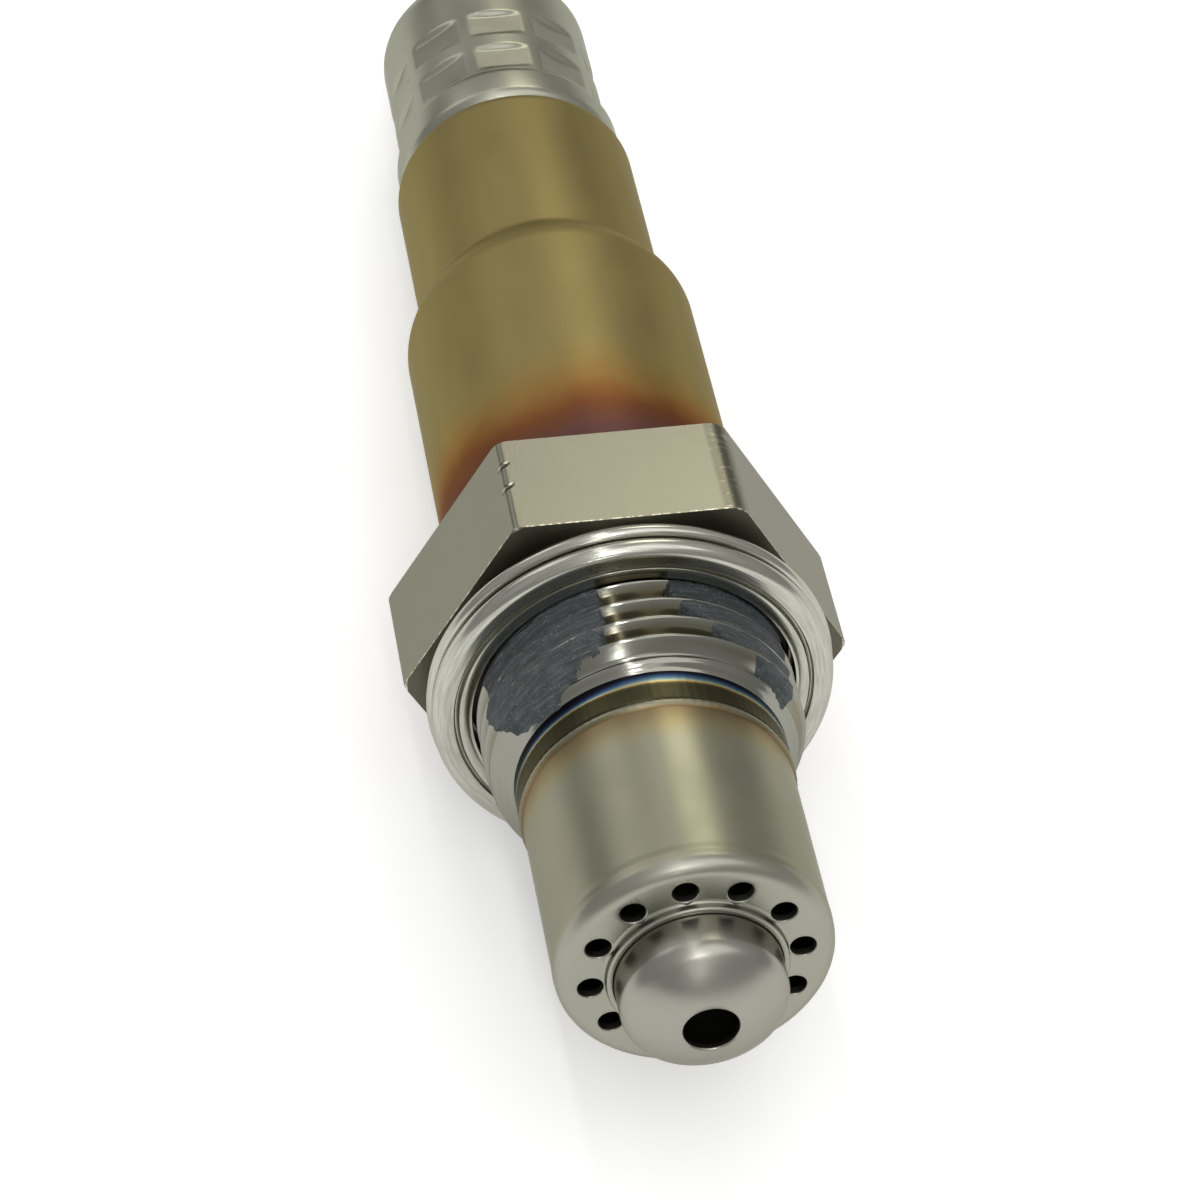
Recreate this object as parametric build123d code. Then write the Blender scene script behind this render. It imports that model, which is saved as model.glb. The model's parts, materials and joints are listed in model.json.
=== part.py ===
"""Exhaust oxygen sensor with an M18 thread and a 22 mm hexagon.

Every piece is turned or drawn about one axis. The pieces are modelled on that axis first, with
station 0 at the hexagon's sealing seat, positive stations towards the gas end and negative ones
towards the tail. Then the whole sensor is laid down on a hexagon flat's rear edge and its tail.
Lengths are millimetres.
"""
from build123d import *
import os
from math import asin, atan2, cos, degrees, hypot, radians, sin, sqrt, tan

# ---- housing: hexagon, thread and spigot ------------------------------------------------------
HEX_ACROSS_FLATS = 22.0
HEX_HEIGHT = 7.4
HEX_CHAMFER_R = 11.9  # radius at which the 30 degree corner chamfer starts
HEX_CHAMFER_ANGLE = 30.0
THREAD_R = 9.0  # M18, over the crests
THREAD_PITCH = 1.5
THREAD_DEPTH_RATIO = 0.6134  # of a metric thread's pitch
THREAD_LENGTH = 5.55
RELIEF_CLEARANCE = 0.25  # of the plain neck past the gasket, up to the first full crest
RELIEF_ROUND = 0.3
SPIGOT_LENGTH = 2.0
REAR_COLLAR_LENGTH = 5.5
REAR_LIP_LENGTH = 0.9
REAR_LIP_R = 5.4
BORE_R = 6.3
FRONT_BORE_R = 4.4
BORE_SEAT_DEPTH = 3.95  # from the spigot's front face to the seat of the ceramics

# ---- protection tubes -------------------------------------------------------------------------
TUBE_R = 7.57
TUBE_WALL = 0.5
TUBE_LENGTH = 14.83
TUBE_EDGE_R = 0.9
WELD_BAND_LENGTH = 1.7
WELD_BAND_STEP = 0.1
WELD_BEAD_R = 0.16
GAS_HOLE_COUNT = 12
GAS_HOLE_R = 0.7
GAS_CIRCLE_R = 5.73
GAS_HOLE_PHASE = -7.6  # degrees that the ring of holes is turned from the hexagon's top flat
COLLAR_WALL = 0.32
COLLAR_HEIGHT = 0.55
COLLAR_FOOT_ROUND = 0.2
COLLAR_TOP_ROUND = 0.18
NOSE_R = 4.55
NOSE_WALL = 0.4
NOSE_REACH = 4.7
NOSE_CROWN_R = 6.5
NOSE_EDGE_R = 1.3
NOSE_HOLE_R = 1.5
NOSE_FLANGE_ROUND = 1.0
INLET_COUNT = 8
INLET_R = 0.6
INLET_SETBACK = 3.4  # from the inner tube's flange to its ring of inlets

# ---- gasket -----------------------------------------------------------------------------------
GASKET_SHEET = 0.4
GASKET_CLEARANCE = 0.34  # from the thread's crests to the inner lip
GASKET_LIP_WIDTH = 0.66  # from its inner edge to the crease
GASKET_CREASE_WIDTH = 0.16
GASKET_CREASE_DEPTH = 0.28
GASKET_ROLL_WIDTH = 1.42  # from the crease to the roll's outside
GASKET_RIM_STEP = 0.3  # that the middle layer's rim stands out past the roll
GASKET_HEIGHT = 3.15
GASKET_FOLD_GAP = 0.12
GASKET_DISH = 0.24
GASKET_ROLL_ROUND = 0.45
GASKET_SOFT_BEND = 0.1  # inside radius of a slight bend
GASKET_SHARP_BEND = 0.01  # inside radius where the sheet is folded hard

# ---- sleeve and crimp cap ---------------------------------------------------------------------
SLEEVE_R = 8.85
SLEEVE_WALL = 0.5
SLEEVE_LARGE_LENGTH = 22.1  # from the hexagon's rear face to the start of the shoulder
SLEEVE_SHOULDER_LENGTH = 2.3
SLEEVE_SHOULDER_ROUND = 3.0
SLEEVE_STEP_ROUND = 1.2
SLEEVE_SMALL_R = 7.53
SLEEVE_SMALL_LENGTH = 12.6
SLEEVE_END_ROUND = 1.2
NECK_LENGTH = 2.6
NECK_FILLET = 0.15
CAP_R = 6.7
CAP_WALL = 0.7
CAP_LENGTH = 15.6
CAP_END_ROUND = 2.2
CAP_OPENING_R = 4.7
RIM_R = 7.15
RIM_LENGTH = 2.7
RIM_ROUND = 0.9
CRIMP_ROWS = 2
CRIMP_SIDES = 10
CRIMP_APOTHEM = 6.45
CRIMP_ROW_LENGTH = 2.5
CRIMP_ROW_PITCH = 3.7
CRIMP_FIRST_ROW = 3.6  # from the cap's front edge

# ---- ceramics and contacts --------------------------------------------------------------------
FIT = 0.05  # clearance of a ceramic in its bore
ELEMENT_WIDTH = 4.2
ELEMENT_THICKNESS = 1.5
ELEMENT_LENGTH = 45.5
ELEMENT_TIP_CHAMFER = 0.5
FRONT_BUSH_LENGTH = 4.5
POWDER_LENGTH = 5.0
PRESS_RING_LENGTH = 1.0
REAR_NECK_R = 4.0
REAR_NECK_LENGTH = 3.1  # past the press ring
HOLDER_R = 6.4
HOLDER_LENGTH = 12.5
HOLDER_END_WALL = 1.08  # behind the element
CLAMP_WALL = 0.6
CLAMP_LENGTH = 6.0
CLAMP_GAP = 4.0
BLADE_WIDTH = 1.0
BLADE_THICKNESS = 0.25
BLADE_REACH = 10.2  # along the element, from its rear end
UPPER_BLADE_PITCH = 1.4
LOWER_BLADE_PITCH = 1.8
BARREL_R = 0.85
BARREL_WALL = 0.2
BARREL_LENGTH = 6.0
JOGGLE_SETBACK = 0.2
JOGGLE_LENGTH = 1.0
SPRING_THICKNESS = 0.4
SPRING_INNER_R = 4.6
SPRING_OUTER_R = 6.2
SPRING_HEIGHT = 1.9
GUIDE_LENGTH = 7.0
WIRE_COUNT = 5
WIRE_CIRCLE_R = 2.95
GUIDE_HOLE_R = 1.05
GROMMET_BORE_R = 0.95
GROMMET_OVERHANG = 2.0
GROMMET_EDGE_R = 0.5
GROMMET_FRONT_GAP = 4.0  # from the wire guide to the grommet

# ---- stations along the axis, worked out from the sizes above ---------------------------------
HEX_REAR = -HEX_HEIGHT
THREAD_REAR = GASKET_HEIGHT + RELIEF_CLEARANCE
THREAD_FRONT = THREAD_REAR + THREAD_LENGTH
SPIGOT_FRONT = THREAD_FRONT + SPIGOT_LENGTH
TUBE_FRONT = THREAD_FRONT + TUBE_LENGTH
NOSE_FRONT = TUBE_FRONT + NOSE_REACH
BORE_SEAT = SPIGOT_FRONT - BORE_SEAT_DEPTH
HOUSING_REAR = HEX_REAR - REAR_COLLAR_LENGTH
PRESS_RING_REAR = HOUSING_REAR + REAR_LIP_LENGTH
PRESS_RING_FRONT = PRESS_RING_REAR + PRESS_RING_LENGTH
FRONT_BUSH_REAR = BORE_SEAT - FRONT_BUSH_LENGTH
POWDER_REAR = FRONT_BUSH_REAR - POWDER_LENGTH
REAR_NECK_END = PRESS_RING_REAR - REAR_NECK_LENGTH
HOLDER_REAR = REAR_NECK_END - HOLDER_LENGTH
ELEMENT_REAR = HOLDER_REAR + HOLDER_END_WALL
ELEMENT_FRONT = ELEMENT_REAR + ELEMENT_LENGTH
GUIDE_FRONT = HOLDER_REAR - SPRING_HEIGHT
GUIDE_REAR = GUIDE_FRONT - GUIDE_LENGTH
SHOULDER_FRONT = HEX_REAR - SLEEVE_LARGE_LENGTH
SHOULDER_REAR = SHOULDER_FRONT - SLEEVE_SHOULDER_LENGTH
SLEEVE_END = SHOULDER_REAR - SLEEVE_SMALL_LENGTH - SLEEVE_END_ROUND
NECK_END = SLEEVE_END - NECK_LENGTH
CAP_FRONT = SLEEVE_END
CAP_REAR = CAP_FRONT - CAP_LENGTH
GROMMET_FRONT = GUIDE_REAR - GROMMET_FRONT_GAP
GROMMET_REAR = CAP_REAR - GROMMET_OVERHANG

# ---- radii shared by pieces that fit each other -----------------------------------------------
HEX_APOTHEM = HEX_ACROSS_FLATS / 2
HEX_CORNER_R = HEX_APOTHEM / cos(radians(30))
THREAD_DEPTH = THREAD_DEPTH_RATIO * THREAD_PITCH
THREAD_ROOT_R = THREAD_R - THREAD_DEPTH
SPIGOT_R = TUBE_R - TUBE_WALL
CERAMIC_R = BORE_R - FIT
SLEEVE_BORE_R = SLEEVE_R - SLEEVE_WALL
NECK_R = CAP_R - CAP_WALL
NECK_BORE_R = NECK_R - SLEEVE_WALL
TUBE_OPENING_R = NOSE_R + FIT
CLAMP_R = HOLDER_R + CLAMP_WALL

FAR = 200.0  # longer than the sensor, for cutting tools


# ---- helpers ----------------------------------------------------------------------------------
def section(*corners):
    """Closed face in the radius/station plane from (radius, station, corner rounding) corners."""
    points = [(radius, station) for radius, station, _ in corners]
    roundings = [rounding for _, _, rounding in corners]
    return make_face(FilletPolyline(*points, radius=roundings, close=True))


def turned(face):
    """Turn a radius/station face about the sensor's axis."""
    return revolve(Plane.XZ * face, Axis.Z)


def ring(inner_r, outer_r, rear, front):
    """Plain ring or, with no inner radius, a plain disc."""
    corners = [(inner_r, rear, 0), (outer_r, rear, 0), (outer_r, front, 0), (inner_r, front, 0)]
    return turned(section(*corners))


def block(width, low, high, rear, front, middle=0.0):
    """Rectangular bar along the axis: centred on middle across, from low to high in height."""
    return Pos(middle, low, rear) * Box(
        width, high - low, front - rear, align=(Align.CENTER, Align.MIN, Align.MIN)
    )


def drilled(radius, circle_r, count, phase=0.0):
    """Round cutters parallel to the axis, evenly spaced on a circle, the first phase past the top."""
    return [
        Rot(0, 0, 90 - phase - 360 * i / count) * Pos(circle_r, 0, 0) * Cylinder(radius, 2 * FAR)
        for i in range(count)
    ]


def prism(apothem, sides, rear, front):
    """Regular prism with flats at the given apothem, one of them facing straight up."""
    half_side = 180 / sides
    outline = RegularPolygon(apothem / cos(radians(half_side)), sides, rotation=90 - half_side)
    return Pos(0, 0, rear) * extrude(outline, front - rear)


# ---- housing ----------------------------------------------------------------------------------
def make_housing():
    """Hexagon, rear collar, thread and spigot, turned from one bar."""
    drop = (HEX_CORNER_R - HEX_CHAMFER_R) * tan(radians(HEX_CHAMFER_ANGLE))
    hexagon = prism(HEX_APOTHEM, 6, HEX_REAR, 0)
    chamfered_bar = turned(
        section(
            (0, HEX_REAR, 0),
            (HEX_CHAMFER_R, HEX_REAR, 0),
            (HEX_CORNER_R, HEX_REAR + drop, 0),
            (HEX_CORNER_R, -drop, 0),
            (HEX_CHAMFER_R, 0, 0),
            (0, 0, 0),
        )
    )
    lead_in = THREAD_R - SPIGOT_R - TUBE_WALL - WELD_BAND_STEP
    front = turned(
        section(
            (0, 0, 0),
            (THREAD_ROOT_R, 0, RELIEF_ROUND),
            (THREAD_ROOT_R, THREAD_REAR - THREAD_DEPTH, RELIEF_ROUND),
            (THREAD_R, THREAD_REAR, 0),
            (THREAD_R, THREAD_FRONT - lead_in, 0),
            (THREAD_R - lead_in, THREAD_FRONT, 0),
            (SPIGOT_R, THREAD_FRONT, 0),
            (SPIGOT_R, SPIGOT_FRONT, 0),
            (0, SPIGOT_FRONT, 0),
        )
    )
    rear_collar = ring(0, SLEEVE_BORE_R, HOUSING_REAR, HEX_REAR)
    bore = turned(
        section(
            (0, -FAR, 0),
            (REAR_LIP_R, -FAR, 0),
            (REAR_LIP_R, PRESS_RING_REAR, 0),
            (BORE_R, PRESS_RING_REAR, 0),
            (BORE_R, BORE_SEAT, 0),
            (FRONT_BORE_R, BORE_SEAT, 0),
            (FRONT_BORE_R, FAR, 0),
            (0, FAR, 0),
        )
    )
    return (hexagon & chamfered_bar) + front + rear_collar - bore


# ---- protection tubes -------------------------------------------------------------------------
def make_outer_protection_tube():
    """Deep-drawn cup with a ring of gas holes and a collar that grips the inner tube's nose."""
    band_r = TUBE_R + WELD_BAND_STEP
    band_front = THREAD_FRONT + WELD_BAND_LENGTH
    outside = section(
        (0, THREAD_FRONT, 0),
        (band_r, THREAD_FRONT, 0),
        (band_r, band_front, 0),
        (TUBE_R, band_front, 0),
        (TUBE_R, TUBE_FRONT, TUBE_EDGE_R),
        (TUBE_OPENING_R + COLLAR_WALL, TUBE_FRONT, COLLAR_FOOT_ROUND),
        (TUBE_OPENING_R + COLLAR_WALL, TUBE_FRONT + COLLAR_HEIGHT, COLLAR_TOP_ROUND),
        (0, TUBE_FRONT + COLLAR_HEIGHT, 0),
    )
    inside = section(
        (0, THREAD_FRONT, 0),
        (SPIGOT_R, THREAD_FRONT, 0),
        (SPIGOT_R, TUBE_FRONT - TUBE_WALL, TUBE_EDGE_R - TUBE_WALL),
        (TUBE_OPENING_R, TUBE_FRONT - TUBE_WALL, 0),
        (TUBE_OPENING_R, TUBE_FRONT + COLLAR_HEIGHT, 0),
        (0, TUBE_FRONT + COLLAR_HEIGHT, 0),
    )
    bead = Pos(0, 0, band_front + 2 * WELD_BEAD_R) * Torus(TUBE_R, WELD_BEAD_R)
    gas_holes = [
        hole & ring(0, TUBE_R, TUBE_FRONT - 2 * TUBE_WALL, TUBE_FRONT + TUBE_WALL)
        for hole in drilled(GAS_HOLE_R, GAS_CIRCLE_R, GAS_HOLE_COUNT, GAS_HOLE_PHASE)
    ]
    return turned(outside) + bead - turned(inside) - gas_holes


def nose_section(inset):
    """Section of the inner tube's outside, moved inwards by inset."""
    radius = NOSE_R - inset
    crown_r = NOSE_CROWN_R - inset
    top = NOSE_FRONT - inset
    crown_start = top - crown_r + sqrt(crown_r**2 - radius**2)
    side = Line((radius, SPIGOT_FRONT), (radius, crown_start))
    crown = RadiusArc(side @ 1, (0, top), -crown_r)
    axis_line = Line((0, top), (0, SPIGOT_FRONT))
    foot_line = Line((0, SPIGOT_FRONT), side @ 0)
    face = make_face([side, crown, axis_line, foot_line])
    shoulder = face.vertices().sort_by(Axis.X)[-2:].sort_by(Axis.Y)[-1]
    return fillet(shoulder, NOSE_EDGE_R - inset)


def make_inner_protection_tube():
    """Inner cup: domed nose with the gas outlet, a ring of inlets and a flange on the spigot."""
    flange_front = SPIGOT_FRONT + NOSE_WALL
    side_start = flange_front + 2 * NOSE_FLANGE_ROUND
    foot = section(
        (NOSE_R - NOSE_WALL, SPIGOT_FRONT, 0),
        (SPIGOT_R, SPIGOT_FRONT, 0),
        (SPIGOT_R, flange_front, 0),
        (NOSE_R, flange_front, NOSE_FLANGE_ROUND),
        (NOSE_R, side_start, 0),
        (NOSE_R - NOSE_WALL, side_start, 0),
    )
    cup = turned(nose_section(0)) + turned(foot) - turned(nose_section(NOSE_WALL))
    outlet = Pos(0, 0, NOSE_FRONT) * Cylinder(NOSE_HOLE_R, 2 * NOSE_REACH)
    inlet = Rot(0, 90, 0) * Cylinder(INLET_R, FAR, align=(Align.CENTER, Align.CENTER, Align.MIN))
    inlets = [
        Pos(0, 0, flange_front + INLET_SETBACK) * Rot(0, 0, 360 * i / INLET_COUNT) * inlet
        for i in range(INLET_COUNT)
    ]
    return cup - outlet - inlets


# ---- gasket -----------------------------------------------------------------------------------
def make_sealing_gasket():
    """Strip folded in three layers: rolled front with a creased lip, flat middle, dished rear."""
    half = GASKET_SHEET / 2
    front = GASKET_HEIGHT - half
    middle = GASKET_HEIGHT / 2 + GASKET_FOLD_GAP
    roll_rear = middle + GASKET_SHEET + GASKET_FOLD_GAP
    inner_r = THREAD_R + GASKET_CLEARANCE
    crease = inner_r + GASKET_LIP_WIDTH
    roll = crease + GASKET_ROLL_WIDTH - half
    rim = roll + GASKET_RIM_STEP
    soft = half + GASKET_SOFT_BEND
    sharp = half + GASKET_SHARP_BEND
    hairpin = half + GASKET_FOLD_GAP / 3
    path = FilletPolyline(
        (inner_r + half, front),
        (roll, front),
        (roll, roll_rear),
        (crease, roll_rear),
        (crease, middle),
        (rim, middle),
        (rim - GASKET_DISH, middle - 2 * GASKET_DISH),
        (crease, half),
        (inner_r + half, half),
        radius=[GASKET_ROLL_ROUND, hairpin, hairpin, hairpin, sharp, sharp, soft],
    )
    strip = turned(make_face(path.offset_2d(half, kind=Kind.ARC, side=Side.BOTH, closed=True)))
    groove_rear = GASKET_HEIGHT - GASKET_CREASE_DEPTH
    return strip - ring(crease, crease + GASKET_CREASE_WIDTH, groove_rear, FAR)


# ---- sleeve, cap and grommet ------------------------------------------------------------------
def sleeve_section(inset):
    """Section of the sleeve's outside, moved inwards by inset."""
    return section(
        (0, HEX_REAR, 0),
        (SLEEVE_R - inset, HEX_REAR, 0),
        (SLEEVE_R - inset, SHOULDER_FRONT, SLEEVE_SHOULDER_ROUND - inset),
        (SLEEVE_SMALL_R - inset, SHOULDER_REAR, SLEEVE_STEP_ROUND + inset),
        (SLEEVE_SMALL_R - inset, SLEEVE_END + inset, SLEEVE_END_ROUND - inset),
        (NECK_R - inset, SLEEVE_END + inset, NECK_FILLET),
        (NECK_R - inset, NECK_END, 0),
        (0, NECK_END, 0),
    )


def make_protective_sleeve():
    """Stepped tube drawn from one blank, open at both ends."""
    return turned(sleeve_section(0)) - turned(sleeve_section(SLEEVE_WALL))


def crimped_bar(inset, front, rear):
    """The cap's outside as a bar with its rows of crimp flats, moved inwards by inset."""
    outer_r = CAP_R - inset
    end_round = CAP_END_ROUND - inset
    bar = turned(section((0, rear, 0), (outer_r, rear, end_round), (outer_r, front, 0), (0, front, 0)))
    for row in range(CRIMP_ROWS):
        row_front = CAP_FRONT - CRIMP_FIRST_ROW - row * CRIMP_ROW_PITCH
        row_rear = row_front - CRIMP_ROW_LENGTH
        kept = prism(CRIMP_APOTHEM - inset, CRIMP_SIDES, row_rear, row_front)
        bar -= ring(0, 2 * CAP_R, row_rear, row_front) - kept
    return bar


def make_crimp_cap():
    """Cap with a rolled rim, crimped round the grommet and turned in at its end."""
    lead_in = NECK_FILLET + FIT
    rim_rear = CAP_FRONT - RIM_LENGTH
    rim = turned(
        section(
            (NECK_R, CAP_FRONT - lead_in, 0),
            (NECK_R + lead_in, CAP_FRONT, 0),
            (RIM_R, CAP_FRONT, RIM_ROUND),
            (RIM_R, rim_rear, RIM_ROUND),
            (CAP_R, rim_rear - RIM_ROUND, 0),
            (NECK_R, rim_rear - RIM_ROUND, 0),
        )
    )
    shell = crimped_bar(0, rim_rear, CAP_REAR) - crimped_bar(CAP_WALL, CAP_FRONT, CAP_REAR + CAP_WALL)
    return shell + rim - ring(0, CAP_OPENING_R, CAP_REAR, CAP_REAR + CAP_WALL)


def make_grommet():
    """Rubber plug that fills the neck and the cap, with a bore for each wire."""
    front_part = ring(0, NECK_BORE_R, NECK_END, GROMMET_FRONT)
    middle_part = crimped_bar(CAP_WALL, NECK_END, CAP_REAR + CAP_WALL)
    rear_part = turned(
        section(
            (0, GROMMET_REAR, 0),
            (CAP_OPENING_R, GROMMET_REAR, GROMMET_EDGE_R),
            (CAP_OPENING_R, CAP_REAR + CAP_WALL, 0),
            (0, CAP_REAR + CAP_WALL, 0),
        )
    )
    return front_part + middle_part + rear_part - drilled(GROMMET_BORE_R, WIRE_CIRCLE_R, WIRE_COUNT)


# ---- ceramics ---------------------------------------------------------------------------------
def element_slot(clearance):
    """Room for the sensing strip."""
    half = ELEMENT_THICKNESS / 2 + clearance
    return block(ELEMENT_WIDTH + 2 * clearance, -half, half, -FAR, FAR)


def make_sensing_element():
    """Flat ceramic strip with its tip's corners cut."""
    half = ELEMENT_THICKNESS / 2
    strip = block(ELEMENT_WIDTH, -half, half, ELEMENT_REAR, ELEMENT_FRONT)
    tip_edges = strip.edges().filter_by(Axis.Y).group_by(Axis.Z)[-1]
    return chamfer(tip_edges, ELEMENT_TIP_CHAMFER)


def make_rear_ceramic_bush():
    """Stepped bush that presses on the powder and carries the contact block on its neck."""
    body = ring(0, CERAMIC_R, PRESS_RING_FRONT, POWDER_REAR)
    neck = ring(0, REAR_NECK_R, REAR_NECK_END, PRESS_RING_FRONT)
    return body + neck - element_slot(FIT)


def make_wire_guide():
    """Insulating disc that seats in the sleeve's shoulder, with a hole for each crimp barrel."""
    cavity = turned(sleeve_section(SLEEVE_WALL))
    disc = ring(0, SLEEVE_BORE_R - FIT, GUIDE_REAR, GUIDE_FRONT)
    return (disc & cavity) - drilled(GUIDE_HOLE_R, WIRE_CIRCLE_R, WIRE_COUNT)


# ---- contacts ---------------------------------------------------------------------------------
def wire_angle(wire):
    """Angle of a wire's bore about the axis, from the top."""
    return 90 - 360 * wire / WIRE_COUNT


def blade_places():
    """Middle and side (1 above the strip, -1 below) of each blade, in the order of the wires."""
    return [
        (0.0, 1),
        (UPPER_BLADE_PITCH, 1),
        (LOWER_BLADE_PITCH / 2, -1),
        (-LOWER_BLADE_PITCH / 2, -1),
        (-UPPER_BLADE_PITCH, 1),
    ]


def blade(middle, side, thickness, width, front, rear):
    """Straight strip lying on the element's face."""
    face = ELEMENT_THICKNESS / 2
    low, high = sorted((side * face, side * (face + thickness)))
    return block(width, low, high, rear, front, middle)


def make_contact_holder(side):
    """Half of the split ceramic block: upper for side 1, lower for side -1."""
    low, high = sorted((0, side * HOLDER_R))
    half_space = block(2 * HOLDER_R, low, high, HOLDER_REAR, REAR_NECK_END)
    half = ring(0, HOLDER_R, HOLDER_REAR, REAR_NECK_END) & half_space
    half -= element_slot(FIT) & ring(0, HOLDER_R, ELEMENT_REAR - FIT, REAR_NECK_END)
    for middle, own_side in blade_places():
        if own_side == side:
            groove_front = ELEMENT_REAR + BLADE_REACH + FIT
            half -= blade(
                middle, side, BLADE_THICKNESS + 2 * FIT, BLADE_WIDTH + 2 * FIT, groove_front, HOLDER_REAR
            )
    return half


def make_contact_spring(wire):
    """Stamped contact: blade on the strip, joggle behind the block and barrel in the wire guide."""
    middle, side = blade_places()[wire]
    joggle_front = HOLDER_REAR - JOGGLE_SETBACK
    joggle_rear = joggle_front - JOGGLE_LENGTH
    strip = blade(middle, side, BLADE_THICKNESS, BLADE_WIDTH, ELEMENT_REAR + BLADE_REACH, joggle_front)

    turn = radians(wire_angle(wire))
    barrel_x = WIRE_CIRCLE_R * cos(turn)
    barrel_y = WIRE_CIRCLE_R * sin(turn)
    blade_y = side * (ELEMENT_THICKNESS + BLADE_THICKNESS) / 2
    cross_section = Rectangle(BLADE_WIDTH, BLADE_THICKNESS)
    start = Pos(middle, blade_y, joggle_front) * cross_section
    end = Pos(barrel_x, barrel_y, joggle_rear) * cross_section

    barrel_rear = joggle_rear - BARREL_LENGTH
    solid_barrel = ring(0, BARREL_R, barrel_rear, joggle_rear)
    hollow = ring(0, BARREL_R - BARREL_WALL, barrel_rear, joggle_rear - BARREL_WALL)
    barrel = Pos(barrel_x, barrel_y, 0) * (solid_barrel - hollow)
    return strip + loft([start, end]) + barrel


def make_contact_clamp():
    """Open spring band round the two halves of the contact holder."""
    front = (REAR_NECK_END + HOLDER_REAR + CLAMP_LENGTH) / 2
    rear = front - CLAMP_LENGTH
    return ring(HOLDER_R, CLAMP_R, rear, front) - block(CLAMP_GAP, 0, 2 * CLAMP_R, rear, front)


def make_preload_spring():
    """Disc spring between the contact block and the wire guide."""
    rise = SPRING_HEIGHT - SPRING_THICKNESS
    return turned(
        section(
            (SPRING_INNER_R, GUIDE_FRONT + rise, 0),
            (SPRING_OUTER_R, GUIDE_FRONT, 0),
            (SPRING_OUTER_R, GUIDE_FRONT + SPRING_THICKNESS, 0),
            (SPRING_INNER_R, GUIDE_FRONT + SPRING_HEIGHT, 0),
        )
    )


# ---- assembly ---------------------------------------------------------------------------------
pieces = {
    "inner_protection_tube": make_inner_protection_tube(),
    "outer_protection_tube": make_outer_protection_tube(),
    "housing": make_housing(),
    "sealing_gasket": make_sealing_gasket(),
    "protective_sleeve": make_protective_sleeve(),
    "crimp_cap": make_crimp_cap(),
    "grommet": make_grommet(),
    "sensing_element": make_sensing_element(),
    "front_ceramic_bush": ring(0, CERAMIC_R, FRONT_BUSH_REAR, BORE_SEAT) - element_slot(FIT),
    "powder_packing": ring(0, BORE_R, POWDER_REAR, FRONT_BUSH_REAR) - element_slot(0),
    "rear_ceramic_bush": make_rear_ceramic_bush(),
    "press_ring": ring(REAR_NECK_R + 2 * FIT, CERAMIC_R, PRESS_RING_REAR, PRESS_RING_FRONT),
    "contact_holder_upper": make_contact_holder(1),
    "contact_holder_lower": make_contact_holder(-1),
    "contact_clamp": make_contact_clamp(),
    "preload_spring": make_preload_spring(),
    "wire_guide": make_wire_guide(),
}
for wire in range(WIRE_COUNT):
    pieces[f"contact_spring_{wire + 1}"] = make_contact_spring(wire)

# The sensor lies on a hexagon flat's rear edge and on the rounding at the cap's end.
rest_run = HEX_REAR - (CAP_REAR + CAP_END_ROUND)
rest_drop = HEX_APOTHEM - (CAP_R - CAP_END_ROUND)
tilt = degrees(atan2(rest_drop, rest_run) - asin(CAP_END_ROUND / hypot(rest_drop, rest_run)))
lying = Rot(90 - tilt, 0, 0)
pivot = (lying * Pos(0, -HEX_APOTHEM, HEX_REAR)).position
whole = Compound([lying * piece for piece in pieces.values()]).bounding_box()
laid = Pos(0, -(whole.min.Y + whole.max.Y) / 2, -pivot.Z) * lying

os.makedirs("parts", exist_ok=True)
for name, piece in pieces.items():
    export_step(laid * piece, f"parts/{name}.step")
print(f"{len(pieces)} pieces, lying with the axis {tilt:.2f} degrees off level")
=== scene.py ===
# %% [markdown]
# # Exhaust oxygen sensor
# The sensor screws into an exhaust pipe. From the gas end to the tail it has a domed nose, a
# protection tube with a ring of gas holes, a thread with a folded gasket, a hexagon, a stepped
# sleeve and a crimped cap that holds a rubber grommet. The solid model is loaded first as a fixed
# frame, so that every piece made here has a place to go to.

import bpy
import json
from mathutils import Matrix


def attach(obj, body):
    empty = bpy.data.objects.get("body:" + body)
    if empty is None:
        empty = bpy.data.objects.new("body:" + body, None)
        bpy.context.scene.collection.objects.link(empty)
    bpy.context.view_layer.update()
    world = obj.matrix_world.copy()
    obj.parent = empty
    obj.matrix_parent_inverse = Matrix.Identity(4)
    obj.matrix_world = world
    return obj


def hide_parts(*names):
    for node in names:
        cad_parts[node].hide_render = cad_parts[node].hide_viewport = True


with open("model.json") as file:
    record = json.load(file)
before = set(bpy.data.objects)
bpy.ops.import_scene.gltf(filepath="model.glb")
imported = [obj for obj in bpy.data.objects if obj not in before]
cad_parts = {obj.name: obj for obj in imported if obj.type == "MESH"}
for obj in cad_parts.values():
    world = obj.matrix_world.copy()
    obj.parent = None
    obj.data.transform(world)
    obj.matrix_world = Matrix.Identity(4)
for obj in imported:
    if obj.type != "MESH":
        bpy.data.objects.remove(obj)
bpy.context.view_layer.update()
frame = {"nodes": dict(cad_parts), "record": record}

# %% [markdown]
# Every outer piece is round about one axis, and the sensor lies down with that axis a few degrees
# off level. It is easier to think in the sensor's own directions: across, up, and along the axis
# towards the gas end, in millimetres, with station 0 at the hexagon's sealing seat. The thread's
# mount says where the axis is, so the directions are taken from it and not typed in.

# %% The sensor's own directions
import bpy
import bmesh
import json
from math import acos, asin, cos, degrees, pi, radians, sin, sqrt, tan
from mathutils import Matrix, Vector, noise

MM = 0.001
THREAD_MIDDLE = 5.51  # station of the middle of the thread that a boss takes

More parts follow.
